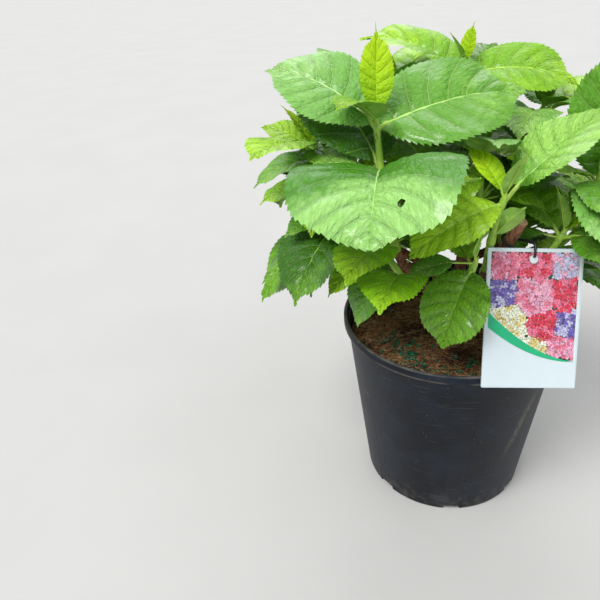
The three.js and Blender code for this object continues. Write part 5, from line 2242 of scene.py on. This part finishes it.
@dataclass
class PictureTag:
    """A printed card on a cord round the pruned stem."""

    place: TagPlace
    stem: Limb
    corner: float = 1.0
    margin: float = 3.0
    bare: float = 22.0
    sweep: float = 27.0
    strips: int = 24
    band: float = 12.0
    band_taper: float = 1.15
    print_low: float = 0.05
    ink_step: float = 0.035
    printed_leaves: int = 70
    crowding: float = 2.0
    own_share: float = 0.62
    eye_share: float = 0.35
    eye: float = 0.36
    heads: tuple[FlowerHead, ...] = (
        FlowerHead(-24, 42, 14, Ink.PINK, Ink.ROSE),
        FlowerHead(1, 44, 15, Ink.PINK, Ink.RED),
        FlowerHead(25, 43, 14, Ink.LILAC, Ink.ROSE),
        FlowerHead(-25, 20, 13, Ink.VIOLET, Ink.LILAC),
        FlowerHead(2, 19, 17, Ink.ROSE, Ink.PINK),
        FlowerHead(27, 20, 14, Ink.RED, Ink.PINK),
        FlowerHead(-20, -5, 17, Ink.CREAM, Ink.YELLOW),
        FlowerHead(9, -6, 14, Ink.RED, Ink.PINK),
        FlowerHead(28, -5, 12, Ink.VIOLET, Ink.LILAC),
        FlowerHead(25, -24, 13, Ink.ROSE, Ink.PINK),
        FlowerHead(2, -24, 12, Ink.CREAM, Ink.YELLOW),
    )

    GOLDEN_TURN = 2.39996
    PETAL = np.array([[0.08, 0], [0.45, -0.42], [0.95, -0.34], [1.08, 0], [0.95, 0.34], [0.45, 0.42]])
    LEAF = np.array([[1, 0], [0.3, 0.42], [-0.6, 0.36], [-1, 0], [-0.6, -0.36], [0.3, -0.42]])

    def world(self, u: Array, v: Array, n: Array) -> Array:
        """Points of the card's frame as points in space.

        Args:
            u: how far across the card.
            v: how far up.
            n: how far out of the picture side.

        Returns:
            The points.
        """
        x, z, out = self.place.axes()
        u, v, n = np.broadcast_arrays(u, v, n)
        return np.array(self.place.middle) + u[..., None] * x + v[..., None] * z + n[..., None] * out

    def build(self) -> None:
        """Builds the card, its print and its cord."""
        self.build_card()
        self.build_print()
        self.build_cord()

    def build_card(self) -> None:
        """Builds the card with rounded corners and its hole."""
        card = self.place
        bare_scene()
        bpy.ops.mesh.primitive_cube_add(size=1)
        piece = bpy.context.object
        piece.name = "tag_card"
        piece.scale = (card.width * MM, card.height * MM, card.thick * MM)
        bpy.ops.object.transform_apply()
        bpy.ops.object.mode_set(mode="EDIT")
        bpy.ops.mesh.select_all(action="DESELECT")
        bpy.ops.object.mode_set(mode="OBJECT")
        for edge in piece.data.edges:
            a, b = (piece.data.vertices[i].co for i in edge.vertices)
            edge.select = abs(a.z - b.z) > 0.5 * card.thick * MM
        bpy.ops.object.mode_set(mode="EDIT")
        bpy.ops.mesh.select_mode(type="EDGE")
        bpy.ops.mesh.bevel(offset=self.corner * MM, segments=6)
        bpy.ops.object.mode_set(mode="OBJECT")
        hole = (card.hole_u * MM, (card.height / 2 - card.hole_down) * MM, 0)
        bpy.ops.mesh.primitive_cylinder_add(
            vertices=40, radius=card.hole_radius * MM, depth=4 * MM, location=hole
        )
        carve(piece, bpy.context.object, "punched_hole")
        x, z, out = (Vector(axis) for axis in card.axes())
        turn = Matrix((x, z, out)).transposed().to_4x4()
        piece.data.transform(Matrix.Translation(Vector(card.middle) * MM) @ turn)
        piece.data.materials.append(CARD.make())
        smooth(piece, 30)
        stand(piece, "card", "picture_tag")

    def prism(self, outline: Array, layer: int, pile: Pile, ink: Ink) -> None:
        """Adds a flat printed shape that stands a hair proud of the card.

        Args:
            outline: its corners across and up the card, the other way round from a clock.
            layer: how many inks lie under it.
            pile: the pile.
            ink: its ink.
        """
        face = self.place.thick / 2
        count = len(outline)
        high = face + self.print_low + self.ink_step * layer
        top = self.world(outline[:, 0], outline[:, 1], np.array(high))
        low = self.world(outline[:, 0], outline[:, 1], np.array(face - 0.2))
        k = np.arange(count)
        wall = np.stack([k, (k + 1) % count, (k + 1) % count + count, k + count], -1)
        fan = np.stack([np.zeros(count - 2, int), np.arange(1, count - 1), np.arange(2, count)], -1)
        pile.add(np.concatenate([low, top]), [wall, fan + count, fan[:, ::-1]], ink)

    def build_print(self) -> None:
        """Prints dark leaves, flower heads and a green band, and leaves the foot bare."""
        card, chance, pile = self.place, np.random.default_rng(12), Pile()
        half, top = card.width / 2 - self.margin, card.height / 2 - self.margin
        low = self.bare - card.height / 2
        picture = Picture(half, top, low, self.sweep)
        u = np.linspace(-half, half, self.strips + 1)
        foot = picture.foot(u)
        for i in range(self.strips):
            strip = np.array([[u[i], foot[i]], [u[i + 1], foot[i + 1]], [u[i + 1], top], [u[i], top]])
            self.prism(strip, Layer.GROUND, pile, Ink.GROUND)
        for _ in range(self.printed_leaves):
            u_middle, v_middle = chance.uniform(5 - half, half - 5), chance.uniform(low + self.sweep, top - 5)
            turn, size = chance.uniform(0, 6.28), chance.uniform(3, 5)
            outline = np.array([u_middle, v_middle]) + turned(self.LEAF * size, turn)
            self.prism(outline, Layer.LEAVES, pile, Ink.LEAF)
        self.print_heads(chance, pile, picture)
        low_edge = foot - 1
        high_edge = low_edge + self.band * (1 - np.arange(len(u)) / len(u)) ** self.band_taper
        for i in range(self.strips):
            ends = [(u[i], low_edge[i]), (u[i + 1], low_edge[i + 1]), (u[i + 1], high_edge[i + 1])]
            self.prism(np.array([*ends, (u[i], high_edge[i])]), Layer.BAND, pile, Ink.BAND)
        stand(pile.make("tag_print", [INKS[ink].make() for ink in Ink], angle=20), "card", "picture_tag")

    def print_heads(self, chance: np.random.Generator, pile: Pile, picture: Picture) -> None:
        """Prints the flower heads as crowds of four-petalled florets.

        Args:
            chance: seeded numbers.
            pile: the pile.
            picture: the printed part of the card.
        """
        for head in self.heads:
            count = round(self.crowding * (head.radius / head.floret) ** 2)
            for k in range(count):
                far = head.radius * math.sqrt((k + 0.5) / count)
                turn = self.GOLDEN_TURN * k
                u, v = head.u + far * math.cos(turn), head.v + far * math.sin(turn)
                near = min(math.hypot(u - one.u, v - one.v) / one.radius for one in self.heads)
                across = abs(u) <= picture.half - 0.5
                if near < far / head.radius - 1e-6 or not across:
                    continue
                if picture.foot(u) + 1.5 < v < picture.top - 0.5:
                    self.print_floret(head, k, np.array([u, v]), chance, pile, picture)

    def print_floret(
        self, head: FlowerHead, k: int, middle: Array,
        chance: np.random.Generator, pile: Pile, picture: Picture,
    ) -> None:
        """Prints one floret of four petals, some with an eye.

        Args:
            head: its flower head.
            k: its number in the head.
            middle: its middle.
            chance: seeded numbers.
            pile: the pile.
            picture: the printed part of the card.
        """
        spin = chance.uniform(0, 1.57)
        ink = head.ink if chance.uniform() < self.own_share else head.accent
        for quarter in range(4):
            petal = turned(self.PETAL * head.floret, spin + quarter * math.pi / 2)
            cut = picture.trimmed(middle + petal)
            if cut is not None:
                self.prism(cut, Layer.FLORETS + k % 2, pile, ink)
        if chance.uniform() < self.eye_share:
            ring = np.linspace(0, 2 * math.pi, 6, endpoint=False)
            outline = middle + self.eye * np.stack([np.cos(ring), np.sin(ring)], 1)
            self.prism(outline, Layer.EYES, pile, Ink.LEAF if head.ink == Ink.CREAM else Ink.YELLOW)

    def build_cord(self) -> None:
        """Builds the cord through the card's hole and round the stem."""
        form = TagCord(self.place, self.stem)
        pile = Pile()
        pile.add(*tubes(form.line()[None], np.full((1, form.rings), form.radius), form.sides, closed=True))
        stand(pile.make("tag_cord", [CORD.make()]), "tie", "tag_tie")


@dataclass
class TagCord:
    """The cord's route, a closed smooth line."""

    place: TagPlace
    stem: Limb
    at_stem: float = 0.84
    cut: float = 0.36
    radius: float = 1.0
    rings: int = 150
    sides: int = 12

    def line(self) -> Array:
        """The route's points.

        Returns:
            The points, evenly dealt over the knots.
        """
        x, z, n = self.place.axes()
        hole_up = self.place.height / 2 - self.place.hole_down
        hole = np.array(self.place.middle) + x * self.place.hole_u + z * hole_up
        middle = self.stem.at(self.at_stem)
        along = self.stem.at(self.at_stem + 0.05) - middle
        along /= np.linalg.norm(along)
        toward = hole - middle
        toward = toward - along * (toward @ along)
        toward /= np.linalg.norm(toward)
        across = cross(along, toward)
        stem_radius = STEMS["front"].radius
        girth = stem_radius * (1 - (1 - Shrub.STEM_TAPER) * self.at_stem) + self.cut + self.radius
        rest = self.place.hole_radius - self.radius - self.cut
        knots = [hole + z * up + n * out for up, out in ((rest, 0), (2.5, 3), (7.5, 3.2), (12.5, 1))]
        for turn in np.radians(np.linspace(75, 285, 7)):
            knots.append(middle + girth * (toward * math.cos(turn) + across * math.sin(turn)))
        knots.append(hole + z * 2 - n * 4)
        return self.through(np.array(knots))

    def through(self, knots: Array) -> Array:
        """A closed line through the knots that doesn't swing wide between them.

        Args:
            knots: the points it passes.

        Returns:
            Its points.
        """
        count = len(knots)
        out = []
        for place in np.arange(self.rings) * count / self.rings:
            i = int(place)
            p = [knots[(i + k) % count] for k in (-1, 0, 1, 2)]
            gaps = [float(((b - a) @ (b - a)) ** 0.25) for a, b in zip(p, p[1:])]
            t = [0.0, gaps[0], gaps[0] + gaps[1], sum(gaps)]
            u = t[1] + (place - i) * gaps[1]
            a = [(p[k] * (t[k + 1] - u) + p[k + 1] * (u - t[k])) / gaps[k] for k in range(3)]
            b = [(a[k] * (t[k + 2] - u) + a[k + 1] * (u - t[k])) / (t[k + 2] - t[k]) for k in range(2)]
            out.append((b[0] * (t[2] - u) + b[1] * (u - t[1])) / gaps[1])
        return np.array(out)


# The studio


@dataclass(frozen=True)
class SkyLight:
    """A wide soft light far off: where it stands, how strong it is and how wide it spreads."""

    name: str
    az: float
    height: float
    strength: float
    spread: float
    colour: Colour


@dataclass
class Studio:
    """The floor, the lights and the camera at the photograph's place."""

    camera_place: tuple[float, float, float] = (0, -486.5, 490.4)
    yaw: float = 16.70
    pitch: float = 31.4
    roll: float = -4.6
    lens: float = 36
    sensor: float = 36
    lights: tuple[SkyLight, ...] = (
        SkyLight("left_sky", 238, 56, 2.85, 30, (1.0, 0.99, 0.97)),
        SkyLight("right_sky", -25, 48, 0.7, 60, (0.97, 0.99, 1.0)),
        SkyLight("back_sky", 95, 46, 1.1, 50, (1.0, 1.0, 1.0)),
    )
    sky: float = 0.58
    sky_colour: Colour = (0.93, 0.96, 1.0)
    floor_size: float = 60

    def build(self) -> None:
        """Builds the studio."""
        self.build_camera()
        self.build_floor()
        world = bpy.data.worlds.new("soft_sky")
        bpy.context.scene.world = world
        world.use_nodes = True
        background = world.node_tree.nodes["Background"]
        background.inputs["Color"].default_value = (*self.sky_colour, 1.0)
        background.inputs["Strength"].default_value = self.sky
        bpy.context.scene.view_settings.view_transform = "Standard"
        for one in self.lights:
            data = bpy.data.lights.new(one.name, "SUN")
            data.energy, data.angle, data.color = one.strength, math.radians(one.spread), one.colour
            light = bpy.data.objects.new(one.name, data)
            light.rotation_euler = Vector(heading(one.az, one.height)).to_track_quat("Z", "Y").to_euler()
            bpy.context.scene.collection.objects.link(light)

    def build_camera(self) -> None:
        """Builds the camera."""
        yaw, pitch, roll = (math.radians(a) for a in (self.yaw, self.pitch, self.roll))
        ahead = Vector((-math.sin(yaw) * math.cos(pitch), math.cos(yaw) * math.cos(pitch), -math.sin(pitch)))
        level = Vector((math.cos(yaw), math.sin(yaw), 0))
        upright = level.cross(ahead)
        right = level * math.cos(roll) + upright * math.sin(roll)
        up = upright * math.cos(roll) - level * math.sin(roll)
        data = bpy.data.cameras.new("camera")
        data.lens, data.sensor_width = self.lens, self.sensor
        camera = bpy.data.objects.new("camera", data)
        turn = Matrix((right, up, -ahead)).transposed().to_4x4()
        camera.matrix_world = Matrix.Translation(Vector(self.camera_place) * MM) @ turn
        bpy.context.scene.collection.objects.link(camera)
        bpy.context.scene.camera = camera

    def build_floor(self) -> None:
        """Builds the floor."""
        bare_scene()
        bpy.ops.mesh.primitive_plane_add(size=self.floor_size)
        floor = bpy.context.object
        floor.name = "floor"
        floor.data.materials.append(FLOOR.make())


def main() -> None:
    """Builds the plant, its pot and its tag, then the studio."""
    logging.basicConfig(level=logging.INFO, format="%(message)s")
    Studio().build()
    shrub = Shrub()
    log.info("grew %d leaves and %d twigs", len(shrub.leaves), len(shrub.twigs))
    Foliage(shrub).build()
    Wood(shrub).build()
    Pot().build()
    Mulch().build()
    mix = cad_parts["potting_mix"]
    mix.data.materials.clear()
    mix.data.materials.append(POTTING_MIX.make())
    PictureTag(shrub.tag, shrub.stems["front"]).build()


if __name__ == "__main__":
    main()
